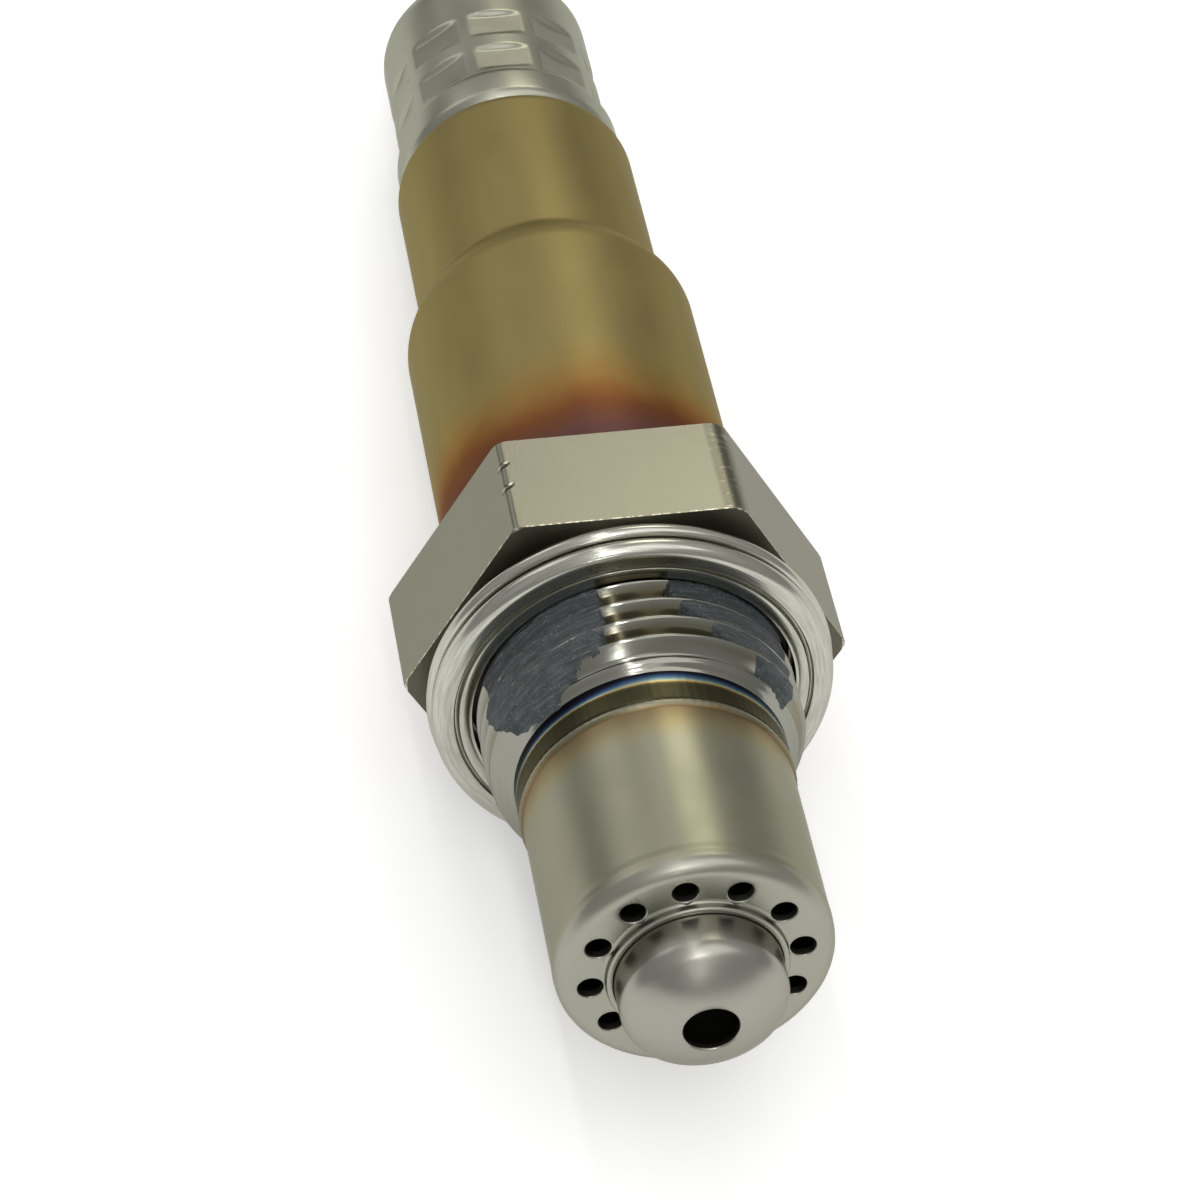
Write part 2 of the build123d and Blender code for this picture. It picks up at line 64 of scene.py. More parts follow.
thread_mount = next(m for m in frame["record"]["mounts"] if m["name"] == "thread")
along = Vector(thread_mount["axis"]).normalized()
across = Vector((1, 0, 0))
upward = along.cross(across)
seat = Vector(thread_mount["pos_m"]) - along * THREAD_MIDDLE * MM
turned_to = Matrix((across, upward, along)).transposed().to_4x4()
laid = Matrix.Translation(seat) @ turned_to @ Matrix.Scale(MM, 4)
print("seat at", tuple(round(c, 5) for c in seat), "axis", tuple(round(c, 4) for c in along))

# %% [markdown]
# The camera comes before the pieces, because it decides how fine each one has to be. It looks down
# on the gas end from the front left through a long lens, rolled a degree or so. The view transform
# is the plain one, so that a colour on the screen is the colour that the light and the finish make.

# %% Camera
def show(name, data):
    """Object of some data, linked into the scene."""
    made = bpy.data.objects.new(name, data)
    bpy.context.scene.collection.objects.link(made)
    return made


camera_data = bpy.data.cameras.new("camera")
camera_data.lens = 138.2
camera_data.sensor_width = 36
camera_data.clip_start = 0.01
camera = show("camera", camera_data)
camera.location = (-0.03301, -0.19084, 0.20332)
camera.rotation_euler = (radians(43.392), radians(-1.436), radians(-8.742))
bpy.context.scene.camera = camera
bpy.context.scene.view_settings.view_transform = "Standard"

# %% [markdown]
# A turned or deep-drawn piece is one outline swept round the axis. The outline is written as corners
# of (radius, station, rounding), as on a drawing, and a small function turns each rounding into an
# arc. A modifier could do the sweep, but laying the rings down by hand lets a ring be dented or
# rippled on its way round.

# %% Outlines with roundings
ARC_STEPS = 6


def rounded(corners, steps=ARC_STEPS):
    """(radius, station) points of a closed outline whose corners have roundings."""
    points = []
    for i, (r, z, rounding) in enumerate(corners):
        here = Vector((r, z))
        if not rounding:
            points.append(here)
            continue
        before = (Vector(corners[i - 1][:2]) - here).normalized()
        after = (Vector(corners[(i + 1) % len(corners)][:2]) - here).normalized()
        half = acos(max(-1, min(1, before.dot(after)))) / 2
        centre = here + (before + after).normalized() * rounding / sin(half)
        start = here + before * rounding / tan(half) - centre
        end = here + after * rounding / tan(half) - centre
        sweep = start.angle_signed(end)
        for k in range(steps + 1):
            points.append(centre + Matrix.Rotation(-sweep * k / steps, 2) @ start)
    return points


# %% Skins through rings
def skin(name, rings, closed=True, smooth_under=32):
    """Object whose surface runs through rings of (x, y, station) points in millimetres."""
    count = len(rings[0])
    points = [laid @ Vector(p) for ring in rings for p in ring]
    quads = []
    for i in range(len(rings) if closed else len(rings) - 1):
        a, b = i * count, (i + 1) % len(rings) * count
        quads += [(a + k, a + (k + 1) % count, b + (k + 1) % count, b + k) for k in range(count)]
    return surface(name, points, quads, smooth_under)


def surface(name, points, quads, smooth_under=32):
    """Object of points and quads, welded where points meet; edges sharper than the angle stay crisp."""
    mesh = bpy.data.meshes.new(name)
    mesh.from_pydata(points, [], quads)
    work = bmesh.new()
    work.from_mesh(mesh)
    bmesh.ops.remove_doubles(work, verts=work.verts, dist=2e-7)
    bmesh.ops.recalc_face_normals(work, faces=work.faces)
    work.to_mesh(mesh)
    work.free()
    mesh.shade_smooth()
    mesh.set_sharp_from_angle(angle=radians(smooth_under))
    return show(name, mesh)


def ring_at(r, z, count, shape=None):
    """One ring of points; shape(angle, r, z) may return a changed radius. Angle 0 is the top."""
    ring = []
    for k in range(count):
        a = 2 * pi * k / count
        radius = shape(a, r, z) if shape else r
        ring.append((radius * sin(a), radius * cos(a), z))
    return ring


def turned(name, outline, count=288, shape=None, smooth_under=32):
    """Piece swept from a closed outline of (radius, station) points."""
    rings = [ring_at(max(r, 0), z, count, shape) for r, z in outline]
    return skin(name, rings, True, smooth_under)


# %% Cutting and joining
def freeze(thing, smooth_under=32):
    """Keep what the modifiers made as the piece's own mesh."""
    bpy.context.view_layer.update()
    seen = thing.evaluated_get(bpy.context.evaluated_depsgraph_get())
    mesh = bpy.data.meshes.new_from_object(seen)
    thing.modifiers.clear()
    thing.data = mesh
    mesh.shade_smooth()
    mesh.set_sharp_from_angle(angle=radians(smooth_under))


def cut(thing, cutter, operation="DIFFERENCE"):
    """Boolean with a cutter, which is used up."""
    step = thing.modifiers.new("cut", "BOOLEAN")
    step.operation = operation
    step.solver = "EXACT"
    step.object = cutter
    freeze(thing)
    bpy.data.objects.remove(cutter)


def join(name, things):
    """Several meshes as one piece; each keeps its own crisp edges."""
    work = bmesh.new()
    for thing in things:
        work.from_mesh(thing.data)
        bpy.data.objects.remove(thing)
    mesh = bpy.data.meshes.new(name)
    work.to_mesh(mesh)
    work.free()
    return show(name, mesh)


# %% Seating a finished piece
pieces = {}


def keep(thing, node):
    """Seat a finished piece: it rides on the sensor and stands for its solid."""
    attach(thing, "root")
    if node:
        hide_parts(node)
    pieces[thing.name] = thing
    print(thing.name, len(thing.data.polygons), "faces")


# %% [markdown]
# The outer protection tube is a deep-drawn cup. Its closed end is pierced by twelve punched gas
# holes and drawn up into a small collar that grips the nose. At its open end it is welded to the
# housing: a slightly raised band, then a bead where the weld ran out onto the tube. The sweep's
# rings let that bead ripple a little, which a plain lathed bead would not.

# %% Outer protection tube
TUBE_R = 7.57
TUBE_WALL = 0.5
TUBE_OPEN_END = 8.95
TUBE_FRONT = 23.78
WELD_R = 7.67
WELD_END = 11.0
COLLAR_R = 4.92
COLLAR_BORE_R = 4.6
COLLAR_FRONT = 24.33


def weld_ripple(a, r, z):
    """The weld's edge wanders a little and shows its overlapping pulses."""
    if not WELD_END - 0.12 < z < WELD_END + 0.5 or r < TUBE_R - 0.2:
        return r
    return r + 0.012 * sin(96 * a) + 0.02 * noise.noise(Vector((3 * sin(a), 3 * cos(a), 7)))


tube_outline = rounded([
    (TUBE_R - TUBE_WALL, TUBE_OPEN_END, 0),
    (WELD_R, TUBE_OPEN_END, 0.05),
    (WELD_R, WELD_END, 0.05),
    (TUBE_R - 0.01, WELD_END + 0.08, 0.04),
    (TUBE_R + 0.15, WELD_END + 0.22, 0.06),
    (TUBE_R + 0.15, WELD_END + 0.42, 0.1),
    (TUBE_R, WELD_END + 0.62, 0.1),
    (TUBE_R, TUBE_FRONT - 1.75, 1.0),
    (TUBE_R + 0.03, TUBE_FRONT - 1.3, 0.8),
    (TUBE_R, TUBE_FRONT - 0.95, 0.5),
    (TUBE_R - 0.01, TUBE_FRONT, 0.85),
    (COLLAR_R, TUBE_FRONT, 0.2),
    (COLLAR_R, COLLAR_FRONT, 0.15),
    (COLLAR_BORE_R, COLLAR_FRONT, 0.04),
    (COLLAR_BORE_R, TUBE_FRONT - TUBE_WALL, 0),
    (TUBE_R - TUBE_WALL, TUBE_FRONT - TUBE_WALL, 0.4),
])
outer_tube = turned("outer_tube", tube_outline, shape=weld_ripple)

# %% [markdown]
# A punch bends the sheet in before it shears it, so each gas hole has a slightly rounded rim. The
# cutter therefore flares out where it meets the end face, instead of being a straight pin.

# %% Gas holes
HOLE_R = 0.7
HOLE_CIRCLE_R = 5.73
HOLE_PHASE = radians(-7.6)
HOLE_EDGE = 0.09
HOLE_COUNT = 12


def punch(name, r, circle_r, angle, front, flare, depth):
    """Round cutter along the axis whose end flares to round the edge of its hole."""
    profile = [Vector((0, front - depth)), Vector((r, front - depth)), Vector((r, front - flare))]
    for k in range(1, 5):
        turn = radians(90 * k / 4)
        profile.append(Vector((r + flare * (1 - cos(turn)), front - flare + flare * sin(turn))))
    profile += [Vector((r + flare, front + 0.3)), Vector((0, front + 0.3))]
    rings = [
        [(circle_r * sin(angle) + p.x * sin(b), circle_r * cos(angle) + p.x * cos(b), p.y)
         for b in (2 * pi * j / 40 for j in range(40))]
        for p in profile
    ]
    return skin(name, rings, True)


PUNCH_DEPTH = 1.5
hole_turns = [HOLE_PHASE + 2 * pi * k / HOLE_COUNT for k in range(HOLE_COUNT)]
cutters = [
    punch("punch", HOLE_R, HOLE_CIRCLE_R, turn, TUBE_FRONT, HOLE_EDGE, PUNCH_DEPTH)
    for turn in hole_turns
]
cut(outer_tube, join("punches", cutters))
keep(outer_tube, "outer_protection_tube")

# %% [markdown]
# The inner tube's nose pokes out through the collar. It is a drawn cup with a softly domed end and
# one round outlet in the middle. Its foot spreads into a flange that the outer tube clamps. The dome
# is two arcs, a flat crown and a tight shoulder, because that is how a drawing die is ground.

# %% Nose of the inner tube
NOSE_R = 4.55
NOSE_WALL = 0.4
NOSE_FRONT = 28.48
CROWN_R = 6.5
NOSE_EDGE_R = 1.3
OUTLET_R = 1.5
OUTLET_EDGE = 0.12
FLANGE_REAR = 10.95
FLANGE_R = 7.07


def crown_height(r, crown_r, front):
    """Station of the domed end at a radius."""
    return front - crown_r + sqrt(crown_r**2 - r**2)


def dome(radius, crown_r, front, edge_r, hole_r, steps=14):
    """Points from the side of a domed cup over its shoulder to the edge of its outlet."""
    centre_r = radius - edge_r
    centre_z = front - crown_r + sqrt((crown_r - edge_r) ** 2 - centre_r**2)
    lean = asin(centre_r / (crown_r - edge_r))
    shoulder = [
        Vector((centre_r + edge_r * cos(t), centre_z + edge_r * sin(t)))
        for t in ((pi / 2 - lean) * k / steps for k in range(steps + 1))
    ]
    first = shoulder[-1].x
    crown = [first + (hole_r - first) * k / steps for k in range(1, steps + 1)]
    return shoulder + [Vector((r, crown_height(r, crown_r, front))) for r in crown]


outside = dome(NOSE_R, CROWN_R, NOSE_FRONT, NOSE_EDGE_R, OUTLET_R + OUTLET_EDGE)
inside = dome(
    NOSE_R - NOSE_WALL, CROWN_R - NOSE_WALL, NOSE_FRONT - NOSE_WALL, NOSE_EDGE_R - NOSE_WALL, OUTLET_R
)
lip_z = crown_height(OUTLET_R, CROWN_R, NOSE_FRONT)
lip = [
    Vector((OUTLET_R + OUTLET_EDGE * (1 - sin(t)), lip_z - OUTLET_EDGE * (1 - cos(t))))
    for t in (radians(a) for a in (20, 45, 70, 90))
]
foot = rounded([
    (NOSE_R - NOSE_WALL, FLANGE_REAR, 0),
    (FLANGE_R, FLANGE_REAR, 0),
    (FLANGE_R, FLANGE_REAR + NOSE_WALL, 0),
    (NOSE_R, FLANGE_REAR + NOSE_WALL, 1.0),
    (NOSE_R, FLANGE_REAR + 4, 0),
])[:-1]
nose = turned("nose", foot + outside + lip + inside[::-1], count=192)
keep(nose, "inner_protection_tube")

# %% [markdown]
# The housing is turned from drawn hexagon bar, 22 mm across flats. Drawn bar has softly rounded
# lengthwise edges, and the one that the spanner used is worn broader than the rest. Both faces are
# faced square, with just the tips of the corners taken off on the lathe. The flats stay truly flat
# in the light only if every edge between two faces is crisp, so the smoothing angle is very small
# and each rounding is drawn in steps that are smaller still.

# %% Hexagon
HEX_APOTHEM = 11.0
HEX_HEIGHT = 7.4
CORNER_R = HEX_APOTHEM / cos(radians(30))
EDGE_ROUND = 0.45
WORN_CORNER, WORN_ROUND = 0, 1.1
EDGE_STEPS = 20
TIP_START_R = 12.45
TIP_SLOPE = tan(radians(30))
BLANK_EXTRA = 0.3
RELIEF_R = 8.08
HOUSING_REAR = -12.9


def hexagon_ring(z):
    """Outline of the hexagon, from the edge 30 degrees past the top."""
    ring = []
    for k in range(6):
        corner = 30 + 60 * k
        edge_round = WORN_ROUND if k == WORN_CORNER else EDGE_ROUND
        out = CORNER_R - edge_round / cos(radians(30))
        x, y = out * sin(radians(corner)), out * cos(radians(corner))
        for step in range(EDGE_STEPS + 1):
            t = radians(corner - 30 + 60 * step / EDGE_STEPS)
            ring.append((x + edge_round * sin(t), y + edge_round * cos(t), z))
    return ring


def flat_ended(name, rings):
    """Solid between the first and last ring, with a flat face over each end."""
    thing = skin(name, rings, False)
    work = bmesh.new()
    work.from_mesh(thing.data)
    bmesh.ops.holes_fill(work, edges=work.edges)
    bmesh.ops.recalc_face_normals(work, faces=work.faces)
    work.to_mesh(thing.data)
    work.free()
    return thing


hexagon = flat_ended("hexagon", [hexagon_ring(-HEX_HEIGHT), hexagon_ring(0)])
tip_drop = (CORNER_R + BLANK_EXTRA - TIP_START_R) * TIP_SLOPE
blank = turned("blank", rounded([
    (0, -HEX_HEIGHT, 0),
    (TIP_START_R, -HEX_HEIGHT, 0),
    (CORNER_R + BLANK_EXTRA, -HEX_HEIGHT + tip_drop, 0),
    (CORNER_R + BLANK_EXTRA, -tip_drop, 0),
    (TIP_START_R, 0, 0),
    (0, 0, 0),
]), count=360)
cut(hexagon, blank, "INTERSECT")

# %% [markdown]
# A thin bevel takes the razor sharpness off both faces, so that their borders catch a line of light.
# Two nicks on one lengthwise edge come from an open-ended spanner that slipped. Each is cut by a
# slim capsule laid obliquely over the edge, after the bevel, so a nick's own rim stays raw.

# %% Nicks and edges
NICKED_CORNER = radians(-30)
NICKS = ((-3.5, 0.24), (-5.35, 0.24))  # station and depth
NICK_SECTIONS = ((-1.0, 0.12), (-0.5, 0.26), (0, 0.32), (0.5, 0.28), (1.0, 0.12))
EDGE_SOFTNESS = 0.07

soften = hexagon.modifiers.new("edge", "BEVEL")
soften.width = EDGE_SOFTNESS * MM
soften.segments = 2
soften.angle_limit = radians(35)
soften.use_clamp_overlap = True
freeze(hexagon, 4)
outward = Vector((sin(NICKED_CORNER), cos(NICKED_CORNER), 0))
sideways = Vector((cos(NICKED_CORNER), -sin(NICKED_CORNER), -0.45)).normalized()
other = sideways.cross(outward).normalized()
nick_top = CORNER_R - EDGE_ROUND * (1 / cos(radians(30)) - 1)
for z, depth in NICKS:
    middle = nick_top * outward + Vector((0, 0, z))
    rings = []
    for s, size in NICK_SECTIONS:
        heart = middle + sideways * s + outward * (0.32 - depth)
        rings.append([
            tuple(heart + outward * size * cos(b) + other * 0.8 * size * sin(b))
            for b in (2 * pi * j / 12 for j in range(12))
        ])
    cut(hexagon, flat_ended("nick", rings))
freeze(hexagon, 4)
print("hexagon", len(hexagon.data.polygons), "faces")

# %% [markdown]
# The thread is M18 with 1.5 mm pitch. Its surface is laid down along the helix: each row of points
# keeps its place on the thread's profile and climbs one pitch a turn, so crest and root stay crisp.
# The rows are cut off by the relief behind the thread and by the 45 degree chamfer in front, which
# keeps the shallow rings of a fast feed.

# %% Thread
THREAD_R = 9.0
PITCH = 1.5
THREAD_FRONT = 8.95
CHAMFER_Z = 7.62
RELIEF_END = 1.98
RING_STEP, RING_DEPTH = 0.333, 0.045
CREST_AT_TOP = 4.48
PROFILE = [
    (-0.75, 8.08), (-0.66, 8.09), (-0.60, 8.15), (-0.37, 8.53), (-0.13, 8.90), (-0.08, 8.975),
    (0.0, 9.0), (0.08, 8.975), (0.13, 8.90), (0.37, 8.53), (0.60, 8.15), (0.66, 8.09),
]
THREAD_COUNT = 210
ROW_STEP = 0.08


def thread_limit(z):
    """Largest radius that the relief and the lead-in chamfer leave at a station."""
    if z < RELIEF_END:
        return RELIEF_R
    if z < CHAMFER_Z:
        return RELIEF_R + (z - RELIEF_END)
    return THREAD_R - (z - CHAMFER_Z) - RING_DEPTH * (1 - cos(2 * pi * (z - CHAMFER_Z) / RING_STEP)) / 2


fine_profile = []
for (z0, r0), (z1, r1) in zip(PROFILE, PROFILE[1:] + [(PROFILE[0][0] + PITCH, PROFILE[0][1])]):
    steps = max(1, round((z1 - z0) / ROW_STEP))
    fine_profile += [(z0 + (z1 - z0) * i / steps, r0 + (r1 - r0) * i / steps) for i in range(steps)]
rows = []
for turn_number in range(-4, 8):
    for offset, r in fine_profile:
        row = []
        for k in range(THREAD_COUNT + 1):
            a = 2 * pi * k / THREAD_COUNT
            z = CREST_AT_TOP + PITCH * (turn_number - a / (2 * pi)) + offset
            held = max(0.6, min(THREAD_FRONT, z))
            radius = min(r, thread_limit(held), THREAD_R)
            row.append(laid @ Vector((radius * sin(a), radius * cos(a), held)))
        rows.append(row)
per_row = THREAD_COUNT + 1
quads = [
    (i * per_row + k, i * per_row + k + 1, (i + 1) * per_row + k + 1, (i + 1) * per_row + k)
    for i in range(len(rows) - 1) for k in range(THREAD_COUNT)
]
threads = surface("threads", [p for row in rows for p in row], quads, 180)

# %% [markdown]
# The rest of the housing is a turned core: the collar inside the sleeve, the neck behind the thread
# and the spigot that the protection tubes are welded to. Hexagon, thread and core are one piece of
# steel, so they are joined and stand for the housing's solid together.

# %% Core of the housing
core = turned("core", rounded([
    (6.3, HOUSING_REAR, 0),
    (8.35, HOUSING_REAR, 0.2),
    (8.35, -HEX_HEIGHT + 0.2, 0),
    (8.0, -HEX_HEIGHT + 0.2, 0),
    (8.0, 0, 0),
    (RELIEF_R, 0.0, 0),
    (RELIEF_R - 0.01, THREAD_FRONT - 1.1, 0),
    (7.67, THREAD_FRONT - 0.3, 0),
    (7.67, THREAD_FRONT, 0),
    (7.07, THREAD_FRONT, 0),
    (7.07, 10.95, 0),
    (4.4, 10.95, 0),
    (4.4, 7.0, 0),
    (6.3, 7.0, 0),
]), count=192)
housing = join("housing_turned", [hexagon, threads, core])
keep(housing, "housing")

# %% [markdown]
# Grey anti-seize paste was brushed onto the thread in two patches and wiped off between them. It
# fills the roots and leaves little more than the crests showing. The paste is a skin of its own whose
# level changes from place to place, so its edge is wherever it dips under the steel. The border of
# each patch is a polygon of (degrees from the top, station), roughened by noise.

# %% Thread paste
PASTE_PATCHES = [
    (9.0, [(-79, 2.2), (-72, 4.7), (-80, 5.1), (-77, 6.4), (-71, 7.9), (-61, 8.9), (-42, 9.1),
           (-30, 8.2), (-18, 7.9), (-14.5, 6.5), (-12.5, 2.2)]),
    (8.97, [(8.5, 2.2), (10, 4.3), (14, 5.0), (20, 5.4), (24, 6.2), (31, 7.2), (41, 7.6), (51, 8.6),
            (66, 8.7), (68, 2.2)]),
]
PASTE_START, PASTE_STEP, PASTE_ROWS = 1.9, 0.07, 108
PASTE_COUNT = 480
HIDDEN = 0.15  # how far bare steel stands over the skin
PASTE_SAG = 0.13  # between two crests


def smooth_step(low, high, x):
    """0 at low, 1 at high, held beyond, and a soft ramp between."""
    t = max(0.0, min(1.0, (x - low) / (high - low)))
    return t * t * (3 - 2 * t)


def depth_inside(x, z, border):
    """Millimetres from a point to a closed border, negative outside."""
    nearest, inside = 99.0, False
    for (ax, az), (bx, bz) in zip(border, border[1:] + border[:1]):
        ex, ez = bx - ax, bz - az
        t = max(0.0, min(1.0, ((x - ax) * ex + (z - az) * ez) / (ex * ex + ez * ez)))
        nearest = min(nearest, (x - ax - ex * t) ** 2 + (z - az - ez * t) ** 2)
        if (az > z) != (bz > z) and x < ax + (z - az) * ex / ez:
            inside = not inside
    return sqrt(nearest) if inside else -sqrt(nearest)


borders = [
    (level, [(radians(turn) * THREAD_R, z) for turn, z in patch]) for level, patch in PASTE_PATCHES
]


def paste_level(a, z):
    """Radius of the paste's surface."""
    limit = thread_limit(z) if z < THREAD_FRONT else WELD_R
    bare = min(RELIEF_R, limit) - HIDDEN
    turn = a - 2 * pi if a > pi else a
    if not -1.6 < turn < 1.35:
        return bare
    here = Vector((sin(a) * THREAD_R, cos(a) * THREAD_R, z))
    ragged = 0.22 * noise.noise(here * 0.9) + 0.14 * noise.noise(here * 3) + 0.06 * noise.noise(here * 8)
    depths = [(level, depth_inside(turn * THREAD_R, z, line)) for level, line in borders]
    level, depth = max(depths, key=lambda pair: pair[1])
    cover = smooth_step(-0.08, 0.3, depth + ragged)
    from_crest = ((z - CREST_AT_TOP) / PITCH + a / (2 * pi)) % 1
    sag = PASTE_SAG * (1 - cos(2 * pi * from_crest)) / 2
    brushed = Vector((a * 1.5, z * 4.5 + a * 0.3, 0))
    uneven = 0.03 * noise.noise(here * 1.7) + 0.04 * noise.noise(brushed) + 0.015 * noise.noise(here * 7)
    full = level - sag + uneven
    if z > CHAMFER_Z:
        full = min(full, limit + 0.05 + 0.02 * noise.noise(here * 4))
    return bare + cover * (full - bare)


paste_rings = [
    [(paste_level(a, z) * sin(a), paste_level(a, z) * cos(a), z)
     for a in (2 * pi * k / PASTE_COUNT for k in range(PASTE_COUNT))]
    for z in (PASTE_START + i * PASTE_STEP for i in range(PASTE_ROWS))
]
PASTE_END = PASTE_START + (PASTE_ROWS - 1) * PASTE_STEP
paste_rings += [ring_at(7.2, PASTE_END, PASTE_COUNT), ring_at(7.2, PASTE_START, PASTE_COUNT)]
paste = skin("thread_paste", paste_rings, True, 60)
keep(paste, None)

# %% [markdown]
# The sealing gasket is one strip of sheet steel folded in three layers. The front layer rolls over,
# the middle one stands out as a thin rim and the rear one is dished against the hexagon. The sheet
# is drawn as the line down its middle and thickened to both sides, which keeps it the same
# thickness round every fold.

# %% Gasket
SHEET = 0.4
LIP_R = 9.16
ROLL_R = 11.42
CREASE_R = 10.08
CREASE_WIDTH = 0.09
CREASE_DEPTH = 0.28


def sheet_outline(centre_line, thickness):
    """Closed outline of a strip round its middle line, with rounded ends."""
    half = thickness / 2
    left, right = [], []
    for i, p in enumerate(centre_line):
        before = centre_line[max(i - 1, 0)]
        after = centre_line[min(i + 1, len(centre_line) - 1)]
        run = (after - before).normalized()
        side = Vector((-run.y, run.x)) * half
        left.append(p + side)
        right.append(p - side)
    first = (centre_line[0] - centre_line[1]).normalized() * half
    last = (centre_line[-1] - centre_line[-2]).normalized() * half
    cap_last = [centre_line[-1] + Matrix.Rotation(radians(90 - 45 * k), 2) @ last for k in range(1, 4)]
    cap_first = [centre_line[0] + Matrix.Rotation(radians(90 - 45 * k), 2) @ first for k in range(1, 4)]
    return left + cap_last + right[::-1] + cap_first


fold = rounded([
    (LIP_R + SHEET / 2, 2.95, 0),
    (11.22, 2.95, 0.45),
    (11.22, 2.215, 0.24),
    (10.0, 2.215, 0.24),
    (10.0, 1.695, 0.24),
    (11.52, 1.695, 0.21),
    (11.28, 1.215, 0.21),
    (10.0, 0.2, 0.3),
    (LIP_R + SHEET / 2, 0.2, 0),
], 8)

# %% [markdown]
# A narrow crease runs round the front layer, between its lip and the roll. The outline's long front
# line is divided finely there and the points are pressed down. The lip is left very slightly crowned.

# %% Crease of the gasket
FRONT_FACE = 3.15
FINE_STEP = 0.04


def pressed_front(outline):
    """The outline with its front line divided finely and creased."""
    out = []
    for a, b in zip(outline, outline[1:] + outline[:1]):
        out.append(a)
        if min(a.y, b.y) > FRONT_FACE - 0.001 and (b - a).length > 0.5:
            steps = int((b - a).length / FINE_STEP)
            out += [a.lerp(b, k / steps) for k in range(1, steps)]
    for p in out:
        if p.y > FRONT_FACE - 0.001:
            off = abs(p.x - CREASE_R)
            p.y -= CREASE_DEPTH * smooth_step(CREASE_WIDTH + 0.05, CREASE_WIDTH - 0.03, off)
            if p.x < CREASE_R:
                p.y -= 0.07 * ((p.x - 9.75) / 0.4) ** 2
    return out


def pressed(a, r, z):
    """A gasket is never quite round: it waves by a few hundredths."""
    return r + 0.02 * noise.noise(Vector((2 * sin(a), 2 * cos(a), z)))


gasket = turned("gasket", pressed_front(sheet_outline(fold, SHEET)), count=320, shape=pressed)
keep(gasket, "sealing_gasket")

# %% [markdown]
# The sleeve is a thin tube drawn in two steps. Its shoulder rolls in softly to the smaller tail,
# and its end is necked in under the crimp cap. Each corner says which way it bends, so that the
# inside can be the same line moved in by the wall, with its roundings grown or shrunk to match.

# %% Sleeve
SLEEVE_WALL = 0.5
SLEEVE_CORNERS = [
    (8.85, -7.4, 0, 0),
    (8.85, -29.5, 3.0, -1),
    (7.53, -31.8, 1.2, 1),
    (7.53, -45.6, 1.2, -1),
    (6.0, -45.6, 0.15, 1),
    (6.0, -48.2, 0, 0),
]


def sleeve_side(inset):
    """One side of the sleeve, moved in by the wall or not at all."""
    steps_in = (0, 0, 0, inset, inset, 0)
    return [(r - inset, z + dz, max(rounding + bend * inset, 0) if rounding else 0)
            for (r, z, rounding, bend), dz in zip(SLEEVE_CORNERS, steps_in)]


sleeve = turned("sleeve", rounded(sleeve_side(0) + sleeve_side(SLEEVE_WALL)[::-1], 12), count=256)
keep(sleeve, "protective_sleeve")

# %% [markdown]
# The cap is crimped onto the grommet by a tool with ten jaws, which leaves two rows of flats, and
# its front edge is rolled into a rim. A flat is a decagon's side, so the radius of each ring is
# blended between round and ten-sided, and the blend eases in and out as the pressed metal does.

# %% Crimp cap
CAP_R = 6.7
CAP_WALL = 0.7
CAP_FRONT = -45.6
CAP_REAR = -61.2
RIM_R = 7.15
JAWS = 10
CRIMP_APOTHEM = 6.45
CRIMP_ROWS = [(-49.2, -51.7), (-52.9, -55.4)]
CRIMP_EASE = 0.4


def crimped(a, r, z):
    """Radius of the cap's outside, with its crimp flats."""
    if r < CAP_R - 0.35 or r > CAP_R + 0.05:
        return r
    press = max(
        smooth_step(front + 0.1, front - CRIMP_EASE, z) * smooth_step(rear - 0.1, rear + CRIMP_EASE, z)
        for front, rear in CRIMP_ROWS
    )
    off_flat = (a + pi / JAWS) % (2 * pi / JAWS) - pi / JAWS
    flat = min(r, CRIMP_APOTHEM / cos(off_flat) + 0.01)
    return r + (flat - r) * press


cap_side = [(CAP_R, CAP_FRONT - 3.5 - 0.1 * k, 0) for k in range(92)]
cap_outline = rounded([
    (6.03, CAP_FRONT - 0.2, 0),
    (6.2, CAP_FRONT, 0.1),
    (RIM_R, CAP_FRONT, 0.85),
    (RIM_R, CAP_FRONT - 2.55, 0.6),
    (CAP_R, CAP_FRONT - 3.3, 0.3),
    *cap_side,
    (CAP_R, CAP_REAR, 2.15),
    (4.7, CAP_REAR, 0.25),
    (4.7, CAP_REAR + CAP_WALL, 0.2),
    (CAP_R - CAP_WALL, CAP_REAR + CAP_WALL, 1.0),
], 8)
cap = turned("crimp_cap_pressed", cap_outline, count=320, shape=crimped, smooth_under=40)
keep(cap, "crimp_cap")

# %% [markdown]
# ## Finishes
# All the metal is stainless steel, but no two pieces look alike: the tube is satin, the gasket bright,
# the sleeve straw coloured from welding heat, the cap matt. Each finish is procedural. These helpers
# keep the node code short: they make a node, set what is a number and link what is a socket.

# %% Node helpers
def feed(tree, socket, value):
    """Link a socket to another, or set its number or colour."""
    if isinstance(value, bpy.types.NodeSocket):
        tree.links.new(value, socket)
    else:
        socket.default_value = value


def node(tree, kind, inputs=(), **settings):
    """Node with its settings; inputs are given by name or place, as numbers or sockets."""
    made = tree.nodes.new(kind)
    for key, value in settings.items():
        setattr(made, key, value)
    for key, value in dict(inputs).items():
        feed(tree, made.inputs[key], value)
    return made


def maths(tree, operation, a, b=0.0, c=0.0, clamp=False):
    """Result of one sum."""
    made = node(tree, "ShaderNodeMath", {0: a, 1: b, 2: c}, operation=operation, use_clamp=clamp)
    return made.outputs[0]


def plus(tree, a, b):
    return maths(tree, "ADD", a, b)


def minus(tree, a, b):
    return maths(tree, "SUBTRACT", a, b)


def times(tree, a, b):
    return maths(tree, "MULTIPLY", a, b)


